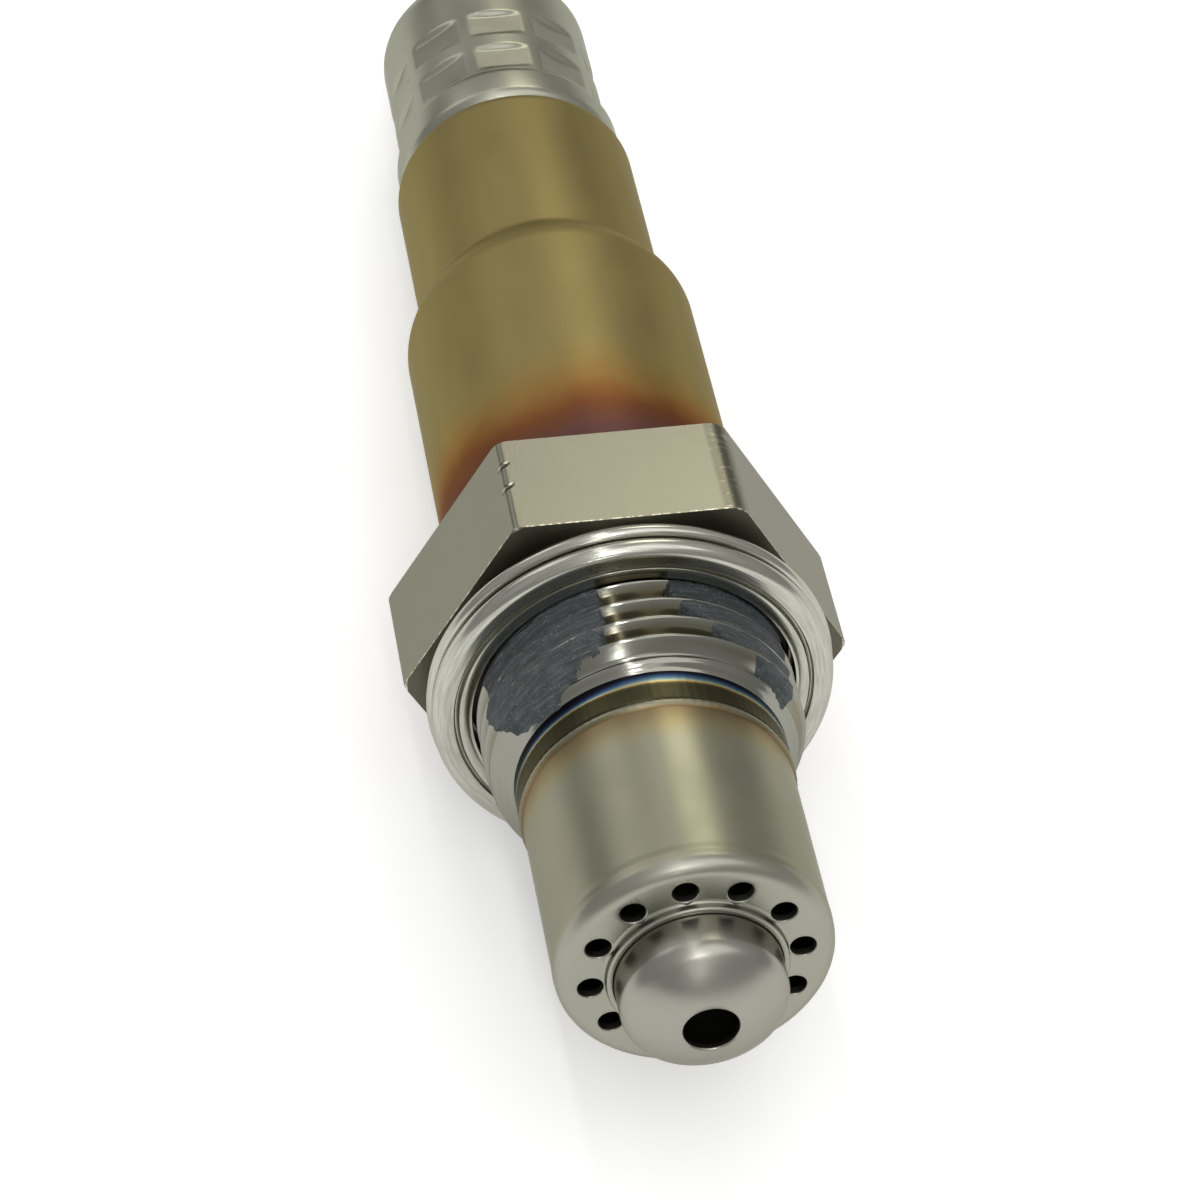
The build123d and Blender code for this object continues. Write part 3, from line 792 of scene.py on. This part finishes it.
def vector_maths(tree, operation, a, b=(0, 0, 0)):
    """Result of one vector sum."""
    return node(tree, "ShaderNodeVectorMath", {0: a, 1: b}, operation=operation).outputs[0]


def cloud(tree, vector, scale, detail=3.0, roughness=0.5):
    """Soft noise from 0 to 1."""
    inputs = {"Vector": vector, "Scale": scale, "Detail": detail, "Roughness": roughness}
    return node(tree, "ShaderNodeTexNoise", inputs).outputs["Fac"]


def spread(tree, value, low, high, to_low=0.0, to_high=1.0, kind="SMOOTHSTEP"):
    """Value taken from one range to another, held at its ends."""
    inputs = {"Value": value, "From Min": low, "From Max": high, "To Min": to_low, "To Max": to_high}
    return node(tree, "ShaderNodeMapRange", inputs, interpolation_type=kind).outputs["Result"]


def band(tree, value, start, full_start, full_end, end):
    """Mask that rises from start, stays at 1 and falls again before end."""
    rise = spread(tree, value, start, full_start)
    return times(tree, rise, spread(tree, value, full_end, end, 1.0, 0.0))


# %% Colour helpers
def blend(tree, factor, a, b, mode="MIX"):
    """Two colours mixed."""
    made = tree.nodes.new("ShaderNodeMix")
    made.data_type = "RGBA"
    made.blend_type = mode
    feed(tree, made.inputs[0], factor)
    for place, value in ((6, a), (7, b)):
        feed(tree, made.inputs[place], (*value, 1) if isinstance(value, tuple) else value)
    return made.outputs[2]


def ramp(tree, value, stops):
    """Colours along a value."""
    made = node(tree, "ShaderNodeValToRGB", {"Fac": value})
    bar = made.color_ramp
    while len(bar.elements) < len(stops):
        bar.elements.new(0.5)
    for element, (place, colour) in zip(bar.elements, stops):
        element.position = place
        element.color = (*colour, 1)
    return made.outputs["Color"]


def shaded(tree, colour, shade):
    """Colour made lighter or darker by a value round 1."""
    grey = node(tree, "ShaderNodeCombineColor", {0: shade, 1: shade, 2: shade}).outputs[0]
    return blend(tree, 1.0, colour, grey, "MULTIPLY")


# %% Group helpers
def group(name, inputs, outputs):
    """Empty node group with named sockets; returns its tree and its inner ends."""
    tree = bpy.data.node_groups.new(name, "ShaderNodeTree")
    kinds = {"value": "NodeSocketFloat", "colour": "NodeSocketColor", "vector": "NodeSocketVector"}
    for label, kind in inputs:
        tree.interface.new_socket(label, in_out="INPUT", socket_type=kinds[kind])
    for label, kind in outputs:
        tree.interface.new_socket(label, in_out="OUTPUT", socket_type=kinds[kind])
    return tree, tree.nodes.new("NodeGroupInput"), tree.nodes.new("NodeGroupOutput")


def use(tree, made_group, **inputs):
    """Place a node group and set its inputs; an underscore in a name stands for a space."""
    placed = tree.nodes.new("ShaderNodeGroup")
    placed.node_tree = made_group
    for key, value in inputs.items():
        feed(tree, placed.inputs[key.replace("_", " ")], value)
    return placed.outputs


# %% [markdown]
# Nearly every mark on this sensor follows its axis: heat tint in bands, turning marks in rings, soft
# stripes lengthwise. So the first group turns a point of the surface into the sensor's own
# directions: millimetres from the seat, the station, the distance from the axis and the turn.

# %% Group: sensor directions
directions, enter, leave = group("sensor directions", [], [
    ("Point", "vector"), ("Station", "value"), ("Radius", "value"), ("Turn", "value"),
    ("Round", "vector"),
])
surface_point = node(directions, "ShaderNodeTexCoord").outputs["Object"]
turned_point = node(directions, "ShaderNodeMapping", {
    "Vector": surface_point, "Location": laid.to_translation(), "Rotation": laid.to_euler(),
    "Scale": (MM, MM, MM),
}, vector_type="TEXTURE").outputs[0]
parts = node(directions, "ShaderNodeSeparateXYZ", {0: turned_point}).outputs
turn_radians = maths(directions, "ARCTAN2", parts[0], parts[1])
turn = maths(directions, "DEGREES", turn_radians)
flat_point = node(directions, "ShaderNodeCombineXYZ", {0: parts[0], 1: parts[1]}).outputs[0]
radius = node(directions, "ShaderNodeVectorMath", {0: flat_point}, operation="LENGTH").outputs["Value"]
round_vector = vector_maths(directions, "NORMALIZE", flat_point)
for socket, value in zip(leave.inputs, (turned_point, parts[2], radius, turn, round_vector)):
    directions.links.new(value, socket)
print(directions.name, len(directions.nodes), "nodes")

# %% [markdown]
# Satin steel has a fine grain all over and softer stripes along the way it was drawn or polished.
# The stripes depend only on the turn round the axis; the grain is fine noise in millimetres; the
# stain is broad and blotchy and also makes the gloss uneven.

# %% Group: satin grain
satin, enter, leave = group("satin grain", [
    ("Point", "vector"), ("Round", "vector"), ("Station", "value"), ("Grain size", "value"),
    ("Stripes", "value"), ("Stains", "value"), ("Seed", "value"),
], [("Height", "value"), ("Shade", "value"), ("Stain", "value")])
per_mm = maths(satin, "DIVIDE", 1.0, enter.outputs["Grain size"])
grain_place = vector_maths(satin, "MULTIPLY", enter.outputs["Point"], (1, 1, 0.7))
fine = cloud(satin, grain_place, per_mm, 2.0, 0.6)
shifted = node(satin, "ShaderNodeCombineXYZ", {2: enter.outputs["Seed"]}).outputs[0]
slow_station = times(satin, enter.outputs["Station"], 0.02)
lengthwise = node(satin, "ShaderNodeCombineXYZ", {2: slow_station}).outputs[0]
stripe_place = vector_maths(satin, "ADD", enter.outputs["Round"], shifted)
stripe_place = vector_maths(satin, "ADD", stripe_place, lengthwise)
stripe = cloud(satin, stripe_place, 2.6, 2.0, 0.55)
stain = cloud(satin, vector_maths(satin, "ADD", enter.outputs["Point"], shifted), 0.3, 2.0, 0.5)
stripe_part = times(satin, minus(satin, stripe, 0.5), enter.outputs["Stripes"])
stain_part = times(satin, minus(satin, stain, 0.5), enter.outputs["Stains"])
shade = plus(satin, plus(satin, 1.0, stripe_part), stain_part)
for label, value in (("Height", fine), ("Shade", shade), ("Stain", stain)):
    satin.links.new(value, leave.inputs[label])
print(satin.name, len(satin.nodes), "nodes")

# %% [markdown]
# Steel that has been hot keeps a film whose colour tells how hot it was: straw, gold, red-brown,
# purple, blue, and black oxide at last. The helper takes a heat from 0 to 1 and gives the colour that
# the bare steel turns. Multiplying the bare colour, instead of covering it, keeps the metal's look.

# %% Temper colours
TEMPER_FILM = [
    (0.0, (1, 1, 1)), (0.15, (1.0, 0.88, 0.66)), (0.3, (1.0, 0.73, 0.50)), (0.45, (0.85, 0.50, 0.30)),
    (0.6, (0.62, 0.30, 0.28)), (0.72, (0.42, 0.26, 0.46)), (0.86, (0.30, 0.42, 0.50)),
    (0.94, (0.10, 0.14, 0.24)), (1.0, (0.04, 0.04, 0.05)),
]


def tempered(tree, heat, bare):
    """Bare colour under the film that a heat leaves."""
    return blend(tree, 1.0, bare, ramp(tree, heat, TEMPER_FILM), "MULTIPLY")


# %% Material helpers
def material(name, metallic=1.0, edge_tint=(0.62, 0.62, 0.58)):
    """Fresh material with its tree, shader and the sensor's directions."""
    made = bpy.data.materials.new(name)
    made.use_nodes = True
    shader = made.node_tree.nodes["Principled BSDF"]
    shader.inputs["Metallic"].default_value = metallic
    if metallic:
        shader.inputs["Specular Tint"].default_value = (*edge_tint, 1)
    return made, made.node_tree, shader, use(made.node_tree, directions)


def satin_on(tree, way, grain_size, stripes, stains, seed):
    """Satin grain placed on a surface."""
    return use(tree, satin, Point=way["Point"], Round=way["Round"], Station=way["Station"],
               Grain_size=grain_size, Stripes=stripes, Stains=stains, Seed=seed)


def finish(tree, shader, colour, roughness, height, depth):
    """Send colour, roughness and a height (depth in millimetres) to the shader."""
    tree.links.new(colour, shader.inputs["Base Color"])
    tree.links.new(roughness, shader.inputs["Roughness"])
    dent = node(tree, "ShaderNodeBump", {"Height": height, "Distance": depth * MM, "Strength": 1.0})
    tree.links.new(dent.outputs[0], shader.inputs["Normal"])


def satin_finish(tree, shader, colour, grain, smoothest, roughest, depth):
    """Satin colour whose gloss follows the stains."""
    roughness = spread(tree, grain["Stain"], 0.3, 0.7, smoothest, roughest)
    finish(tree, shader, shaded(tree, colour, grain["Shade"]), roughness, grain["Height"], depth)


def dress(piece, material_made):
    """Give a piece its only material."""
    piece.data.materials.clear()
    piece.data.materials.append(material_made)
    print(piece.name, "wears", material_made.name)


# %% [markdown]
# The protection tube is satin steel with soft lengthwise bands from drawing. At the open end the
# weld's ramp begins with black, which is painted shade for the gap under the thread's chamfer.
# Welding left the rest of its colours: steel blue over the weld, a thin gold line, an olive-brown
# oxide on the band, the bare bead, and a gold haze that fades along the tube. The weld's colours are
# a ramp along the station, with a little wander round the tube, and the haze is a light temper.

# %% Finish of the protection tube
tube_steel, tree, shader, way = material("satin tube steel")
grain = satin_on(tree, way, 0.12, 0.06, 0.1, 1.7)
wander = minus(tree, cloud(tree, way["Round"], 2.2, 3.0), 0.5)
haze_station = plus(tree, way["Station"], times(tree, wander, 1.2))
haze = spread(tree, haze_station, 14.4, 11.5, 0.0, 0.24)
bare = blend(tree, spread(tree, haze_station, 13.2, 11.4), (0.285, 0.278, 0.208), (0.20, 0.195, 0.155))
warm = tempered(tree, haze, bare)
lopsided = spread(tree, way["Turn"], -10.0, -30.0, 0.0, 0.3)
on_weld = spread(tree, way["Station"], 9.95, 9.5)
station = plus(tree, way["Station"], times(tree, wander, 0.3))
station = minus(tree, station, times(tree, lopsided, on_weld))
weld_place = spread(tree, station, 8.9, 11.75, kind="LINEAR")
# The first, black stop is painted shade for the gap under the thread's chamfer; the stops after it are
# the weld's heat colours.
weld_tint_and_shade = ramp(tree, weld_place, [
    (0.0, (0.010, 0.010, 0.014)), (0.08, (0.016, 0.019, 0.04)), (0.16, (0.05, 0.10, 0.21)),
    (0.225, (0.17, 0.27, 0.30)), (0.26, (0.44, 0.46, 0.34)), (0.29, (0.50, 0.36, 0.12)),
    (0.325, (0.10, 0.08, 0.042)), (0.39, (0.052, 0.047, 0.027)), (0.75, (0.056, 0.049, 0.028)),
    (0.80, (0.13, 0.115, 0.075)), (0.85, (0.25, 0.245, 0.19)), (0.91, (0.20, 0.175, 0.105)),
    (0.955, (0.19, 0.125, 0.055)),
])
end_face = spread(tree, way["Station"], 22.6, 23.3)
warm = blend(tree, end_face, warm, (0.335, 0.330, 0.278))
colour = blend(tree, spread(tree, station, 11.8, 11.55), warm, weld_tint_and_shade)
satin_finish(tree, shader, colour, grain, 0.33, 0.40, 0.002)
dress(outer_tube, tube_steel)

# %% [markdown]
# The nose is the same steel but finer and a little brighter, because it was drawn deeper and sits
# clear of the weld.

# %% Finish of the nose
nose_steel, tree, shader, way = material("satin nose steel")
grain = satin_on(tree, way, 0.1, 0.1, 0.1, 4.1)
satin_finish(tree, shader, (0.335, 0.325, 0.285), grain, 0.28, 0.33, 0.003)
dress(nose, nose_steel)

# %% [markdown]
# The housing was turned and left bare. One corner edge is scuffed by the spanner, and it is also
# painted darker as painted shade. The insides of the two nicks are painted near black as painted
# shade, and bright specks along the front border are painted glints. The thread has gone a little
# brown in its roots. The colour of a flat hardly changes, so its grain is kept faint and a fine
# brushed noise does the rest.

# %% Finish of the housing
HOUSING_COLOUR = (0.232, 0.226, 0.180)
WORN_TURNS = (15.0, 22.0, 38.0, 45.0)  # degrees from the top, fading in and out
NICKED_TURNS = (-37.0, -36.0, -24.0, -23.0)
NICKED_STATIONS = (-6.8, -6.6, -2.0, -1.8)
housing_steel, tree, shader, way = material("machined housing steel")
grain = satin_on(tree, way, 0.16, 0.04, 0.08, 2.3)
slanted = vector_maths(tree, "MULTIPLY", way["Point"], (0.5, 1.2, 2.2))
scratches = cloud(tree, slanted, 1.6, 4.0, 0.65)
worn_edge_and_shade = times(tree, spread(tree, way["Radius"], 12.18, 12.3), band(tree, way["Turn"], *WORN_TURNS))
scuffed = times(tree, worn_edge_and_shade, spread(tree, scratches, 0.55, 0.66))
# Painted shade: the insides of the two nicks are painted near black.
turned_by = maths(tree, "RADIANS", way["Turn"])
to_top = times(tree, way["Radius"], maths(tree, "COSINE", turned_by))
to_left = times(tree, way["Radius"], maths(tree, "COSINE", plus(tree, turned_by, pi / 3)))
below = spread(tree, maths(tree, "MAXIMUM", to_top, to_left), 10.93, 10.86)
nick_shade = times(tree, below, band(tree, way["Turn"], *NICKED_TURNS))
nick_shade = times(tree, nick_shade, band(tree, way["Station"], *NICKED_STATIONS))
# Painted highlight: bright specks along the hexagon's front border stand in for its glints.
front_border = band(tree, way["Station"], -0.12, -0.07, 0.0, 0.02)
front_border = times(tree, front_border, spread(tree, way["Radius"], 10.9, 10.95))
painted_glints = spread(tree, cloud(tree, way["Point"], 4.0, 2.0, 0.7), 0.45, 0.6)
on_thread = spread(tree, way["Station"], 0.5, 1.0)
in_roots = spread(tree, way["Radius"], 8.93, 8.6, 0.0, 0.8)
browned = times(tree, on_thread, in_roots)
browned = times(tree, browned, spread(tree, way["Station"], 7.9, 7.5))
steel = blend(tree, on_thread, HOUSING_COLOUR, (0.27, 0.27, 0.235))
steel = blend(tree, browned, steel, (0.20, 0.18, 0.125))
# Painted shade: the worn corner edge is painted darker than the steel round it; the scuffs below are
# wear.
steel = blend(tree, times(tree, worn_edge_and_shade, 0.4), steel, (0.085, 0.08, 0.055))
steel = blend(tree, times(tree, scuffed, 0.6), steel, (0.42, 0.41, 0.34))
steel = blend(tree, times(tree, front_border, painted_glints), steel, (0.65, 0.64, 0.56))
steel = blend(tree, nick_shade, steel, (0.045, 0.043, 0.032))
on_crests = times(tree, on_thread, spread(tree, way["Station"], 7.7, 7.5))
roughness = minus(tree, 0.3, times(tree, on_crests, 0.19))
roughness = minus(tree, roughness, spread(tree, way["Station"], 7.5, 7.7, 0.0, 0.15))
still = minus(tree, 1.0, on_thread)
height = times(tree, still, plus(tree, grain["Height"], scuffed))
finish(tree, shader, shaded(tree, steel, grain["Shade"]), roughness, height, 0.004)
dress(housing, housing_steel)

# %% [markdown]
# The front face of the hexagon was faced on the lathe. Its fine rings stretch what the face mirrors
# across themselves. That is what anisotropic gloss is for: the tangent points away from the axis,
# across the rings. Its colour is painted darker than the housing's other steel, as painted shade.
# The faces that lie on the seat's plane get this material as the housing's second one.

# %% Finish of the faced front
faced_steel, tree, shader, way = material("faced housing steel")
ring_place = node(tree, "ShaderNodeCombineXYZ", {0: way["Radius"]}).outputs[0]
tool_rings = cloud(tree, ring_place, 7.0, 3.0, 0.6)
shader.inputs["Anisotropic"].default_value = 0.9
surface_point = node(tree, "ShaderNodeTexCoord").outputs["Object"]
from_seat = vector_maths(tree, "SUBTRACT", surface_point, tuple(seat))
tree.links.new(vector_maths(tree, "NORMALIZE", from_seat), shader.inputs["Tangent"])
# Painted shade: the faced steel is painted darker than the rest of the housing.
colour = shaded(tree, (0.125, 0.120, 0.088), spread(tree, tool_rings, 0.3, 0.7, 0.85, 1.1))
finish(tree, shader, colour, spread(tree, tool_rings, 0.3, 0.7, 0.3, 0.36), tool_rings, 0.004)
housing.data.materials.append(faced_steel)
face_count = 0
to_station = laid.inverted()
for polygon in housing.data.polygons:
    middle = to_station @ polygon.center
    if abs(middle.z) < 0.01 and polygon.normal.dot(along) > 0.99:
        polygon.material_index = 1
        face_count += 1
print(face_count, "faces of the seat are", faced_steel.name)

# %% [markdown]
# The paste is dull slate grey, full of metal specks, with streaks left by the brush round the thread.
# It is not a metal: its colour comes from the colour itself, so it stays matt from every side.

# %% Finish of the paste
paste_grey, tree, shader, way = material("anti-seize paste", 0.0)
speck = spread(tree, cloud(tree, way["Point"], 9.0, 2.0, 0.7), 0.64, 0.72)
streaks = cloud(tree, vector_maths(tree, "MULTIPLY", way["Point"], (0.8, 0.8, 6.0)), 1.1, 4.0, 0.6)
grey = ramp(tree, streaks, [
    (0.3, (0.030, 0.037, 0.040)), (0.52, (0.050, 0.059, 0.062)), (0.75, (0.12, 0.128, 0.13)),
])
near_crest = spread(tree, way["Radius"], 8.97, 9.01)
near_crest = times(tree, near_crest, spread(tree, streaks, 0.4, 0.6))
grey = blend(tree, times(tree, near_crest, 0.1), grey, (0.21, 0.21, 0.19))
right_patch = spread(tree, way["Turn"], -5.0, 5.0, 0.0, 0.35)
grey = blend(tree, right_patch, grey, (0.022, 0.028, 0.028))
lumps = plus(tree, streaks, cloud(tree, way["Point"], 5.0, 3.0))
roughness = spread(tree, streaks, 0.3, 0.7, 0.66, 0.56)
finish(tree, shader, blend(tree, speck, grey, (0.30, 0.32, 0.33)), roughness, lumps, 0.07)
dress(paste, paste_grey)

# %% [markdown]
# The gasket is bright cold-rolled sheet. Folding and rolling left fine marks that run round it, so
# it shows the room like a worn mirror, with short dark streaks in its highlights.

# %% Finish of the gasket
gasket_steel, tree, shader, way = material("bright gasket steel")
across_sheet = node(tree, "ShaderNodeCombineXYZ", {0: way["Radius"], 1: way["Station"]}).outputs[0]
marks_place = vector_maths(tree, "ADD", vector_maths(tree, "MULTIPLY", way["Round"], (6.0, 6.0, 6.0)),
                           vector_maths(tree, "MULTIPLY", across_sheet, (9.0, 9.0, 0.0)))
marks = cloud(tree, marks_place, 0.8, 4.0, 0.65)
colour = shaded(tree, (0.47, 0.465, 0.41), spread(tree, marks, 0.36, 0.6, 0.82, 1.05))
finish(tree, shader, colour, spread(tree, marks, 0.35, 0.65, 0.24, 0.17), marks, 0.004)
dress(gasket, gasket_steel)

# %% [markdown]
# The sleeve is straw coloured all over and burnt red-brown and purple where it is welded to the
# housing. The burn's front is wavy, because the weld was run round in pulses.

# %% Finish of the sleeve
sleeve_steel, tree, shader, way = material("straw sleeve steel", edge_tint=(0.5, 0.5, 0.45))
grain = satin_on(tree, way, 0.25, 0.3, 0.15, 8.2)
wander = minus(tree, cloud(tree, way["Round"], 1.8, 3.0), 0.5)
blotches = minus(tree, cloud(tree, way["Point"], 0.22, 3.0, 0.6), 0.5)
moved = plus(tree, times(tree, wander, 2.2), times(tree, blotches, 2.4))
burnt = spread(tree, plus(tree, way["Station"], moved), -18.8, -8.8, kind="LINEAR")
warm = ramp(tree, burnt, [
    (0.0, (0.300, 0.240, 0.102)), (0.22, (0.312, 0.225, 0.084)), (0.38, (0.315, 0.185, 0.063)),
    (0.50, (0.262, 0.122, 0.042)), (0.60, (0.205, 0.078, 0.034)), (0.71, (0.172, 0.070, 0.042)),
    (0.82, (0.142, 0.066, 0.058)), (1.0, (0.110, 0.058, 0.065)),
])
satin_finish(tree, shader, warm, grain, 0.44, 0.5, 0.004)
dress(sleeve, sleeve_steel)

# %% [markdown]
# The cap is matt, as tumbled parts are, so only its flats catch the light.

# %% Finish of the cap
cap_steel, tree, shader, way = material("matt cap steel")
grain = satin_on(tree, way, 0.22, 0.12, 0.2, 6.6)
satin_finish(tree, shader, (0.345, 0.345, 0.283), grain, 0.30, 0.37, 0.006)
dress(cap, cap_steel)

# %% [markdown]
# The grommet keeps its solid's shape and only gets a better material: black rubber with a trace of
# dust. Its bores are empty, ready for the wires of a cable.

# %% Finish of the grommet
grommet_rubber, tree, shader, way = material("grommet rubber", 0.0)
dust = cloud(tree, way["Point"], 1.5, 5.0, 0.6)
black = ramp(tree, dust, [(0.35, (0.012, 0.012, 0.012)), (0.75, (0.04, 0.038, 0.035))])
roughness = spread(tree, dust, 0.3, 0.7, 0.55, 0.75)
finish(tree, shader, black, roughness, cloud(tree, way["Point"], 8.0, 3.0), 0.02)


def wear(name, material_made):
    """Give a solid that keeps its shape another material."""
    for place in frame["nodes"][name].material_slots:
        place.material = material_made
    print(name, "wears", material_made.name)


wear("grommet", grommet_rubber)

# %% [markdown]
# The pieces sealed inside keep their solids' shapes too. Three of the finishes are fired or pressed
# ceramic and one is a white plastic, and all of them have the same fine speckle and the same chalky
# unevenness at their own strengths, so that is a group.

# %% Group: chalky speckle
chalk, enter, leave = group("chalky speckle", [
    ("Point", "vector"), ("Colour", "colour"), ("Contrast", "value"), ("Size", "value"),
], [("Colour", "colour"), ("Height", "value")])
per_size = maths(chalk, "DIVIDE", 1.0, enter.outputs["Size"])
speckle = cloud(chalk, enter.outputs["Point"], per_size, 3.0, 0.6)
uneven = cloud(chalk, enter.outputs["Point"], 0.5, 2.0)
both = minus(chalk, plus(chalk, speckle, uneven), 1.0)
shade = plus(chalk, 1.0, times(chalk, both, enter.outputs["Contrast"]))
chalk.links.new(shaded(chalk, enter.outputs["Colour"], shade), leave.inputs["Colour"])
chalk.links.new(speckle, leave.inputs["Height"])


def chalky(name, colour, contrast, size, roughness, depth):
    """Ceramic or plastic with a fine speckle."""
    made, tree, shader, way = material(name, 0.0)
    marks = use(tree, chalk, Point=way["Point"], Colour=(*colour, 1), Contrast=contrast, Size=size)
    rough = spread(tree, marks["Height"], 0.3, 0.7, roughness, roughness + 0.1)
    finish(tree, shader, marks["Colour"], rough, marks["Height"], depth)
    return made


bush_ceramic = chalky("fired bush ceramic", (0.74, 0.72, 0.65), 0.25, 0.3, 0.6, 0.01)
element_ceramic = chalky("sintered element ceramic", (0.62, 0.62, 0.60), 0.15, 0.15, 0.45, 0.004)
pressed_powder = chalky("pressed powder", (0.45, 0.45, 0.41), 0.6, 0.2, 0.85, 0.03)
guide_plastic = chalky("white guide plastic", (0.76, 0.76, 0.72), 0.06, 0.4, 0.4, 0.004)
for name, made in (
    ("front_ceramic_bush", bush_ceramic), ("rear_ceramic_bush", bush_ceramic),
    ("contact_holder_upper", bush_ceramic), ("contact_holder_lower", bush_ceramic),
    ("sensing_element", element_ceramic), ("powder_packing", pressed_powder),
    ("wire_guide", guide_plastic),
):
    wear(name, made)

# %% [markdown]
# The springs, the clamp and the contacts are rolled strip: rolling leaves fine lengthwise lines, which
# are noise stretched along the sensor.

# %% Finish of the rolled strip
def rolled(name, colour, roughness):
    """Bright rolled strip with fine lines along the sensor."""
    made, tree, shader, way = material(name)
    lines = cloud(tree, vector_maths(tree, "MULTIPLY", way["Point"], (8.0, 8.0, 0.4)), 1.0, 3.0, 0.6)
    shade = spread(tree, lines, 0.3, 0.7, 0.88, 1.1)
    rough = spread(tree, lines, 0.3, 0.7, roughness, roughness + 0.12)
    finish(tree, shader, shaded(tree, colour, shade), rough, lines, 0.004)
    return made


spring_steel = rolled("rolled spring steel", (0.42, 0.40, 0.36), 0.3)
contact_metal = rolled("bright contact strip", (0.52, 0.50, 0.45), 0.2)
for name in ("preload_spring", "press_ring", "contact_clamp"):
    wear(name, spring_steel)
for number in range(1, 6):
    wear(f"contact_spring_{number}", contact_metal)

# %% [markdown]
# ## The room
# The sensor lies on a pale floor that runs out of sight on all sides. What the camera and shiny metal
# see of the floor is lifted to white by the Light Path node, without putting any more light on the
# sensor, and the floor keeps the sensor's soft shadow.

# %% Floor
FLOOR_REACH = 4.0
floor_mesh = bpy.data.meshes.new("floor")
floor_corners = [(x * FLOOR_REACH, y * FLOOR_REACH, 0) for x, y in ((-1, -1), (1, -1), (1, 1), (-1, 1))]
floor_mesh.from_pydata(floor_corners, [], [(0, 1, 2, 3)])
floor = show("floor", floor_mesh)
floor_paint = bpy.data.materials.new("pale floor")
floor_paint.use_nodes = True
tree = floor_paint.node_tree
shader = tree.nodes["Principled BSDF"]
shader.inputs["Base Color"].default_value = (0.88, 0.88, 0.88, 1)
shader.inputs["Roughness"].default_value = 0.9
shader.inputs["Specular IOR Level"].default_value = 0.0
shader.inputs["Emission Color"].default_value = (1, 1, 1, 1)
path = node(tree, "ShaderNodeLightPath").outputs
seen = plus(tree, path["Is Camera Ray"], path["Is Glossy Ray"])
seen = maths(tree, "ADD", seen, path["Is Transmission Ray"], clamp=True)
tree.links.new(times(tree, seen, 0.35), shader.inputs["Emission Strength"])
floor_mesh.materials.append(floor_paint)

# %% [markdown]
# Plain studio light. The room is grey, darker at the horizon and lighter overhead, as a studio with
# an open top is. Large soft lamps hang overhead, in front and at the back left, and a warmer one
# behind gives the long highlight down the sensor's top. Three lamps are narrow: a long strip that
# runs from back to front over the sensor, and two small ones in front of it. The thread's crests
# and its chamfer mirror them as thin bright marks, where wide soft lamps alone would leave them
# dull.

# %% World
world = bpy.data.worlds.new("studio")
bpy.context.scene.world = world
world.use_nodes = True
tree = world.node_tree
direction = node(tree, "ShaderNodeTexCoord").outputs["Generated"]
height = node(tree, "ShaderNodeSeparateXYZ", {0: direction}).outputs[2]
sky = ramp(tree, spread(tree, height, 0.0, 1.0, kind="LINEAR"), [
    (0.0, (0.34, 0.34, 0.33)), (0.45, (0.46, 0.46, 0.45)), (1.0, (0.62, 0.62, 0.61)),
])
tree.links.new(sky, tree.nodes["Background"].inputs["Color"])


# %% Lamps
LIT_POINT = Vector((0, -0.02, 0.015))


def lamp(name, direction, distance, size, radiance, colour=(1, 1, 1), length=None):
    """Soft lamp in a direction from the thread; radiance is how bright it looks."""
    data = bpy.data.lights.new(name, "AREA")
    data.shape = "RECTANGLE"
    data.size = size
    data.size_y = length or size
    data.energy = radiance * pi * data.size * data.size_y
    data.color = colour
    made = show(name, data)
    away = Vector(direction).normalized()
    made.location = LIT_POINT + away * distance
    made.rotation_euler = away.to_track_quat("Z", "Y").to_euler()
    print("lamp", name, "at", tuple(round(c, 3) for c in made.location))
    return made


lamp("overhead", (0.25, -0.25, 0.93), 0.9, 0.7, 1.0)
lamp("front", (0.06, -0.77, 0.63), 0.8, 0.24, 0.7)
lamp("front glint", (-0.05, -0.62, 0.78), 0.45, 0.018, 22.0, length=0.13)
lamp("low glint", (-0.05, -0.92, 0.39), 0.45, 0.016, 13.0, length=0.075)
lamp("behind", (0.22, 0.73, 0.65), 0.7, 0.22, 2.9, (1.0, 0.96, 0.80))
lamp("second band", (-0.52, 0.63, 0.56), 0.7, 0.3, 1.0)
strip = lamp("strip", (-0.148, 0.033, 1.0), 0.455, 0.012, 10.0, length=1.0)
strip.rotation_euler = (0, 0, radians(2.4))
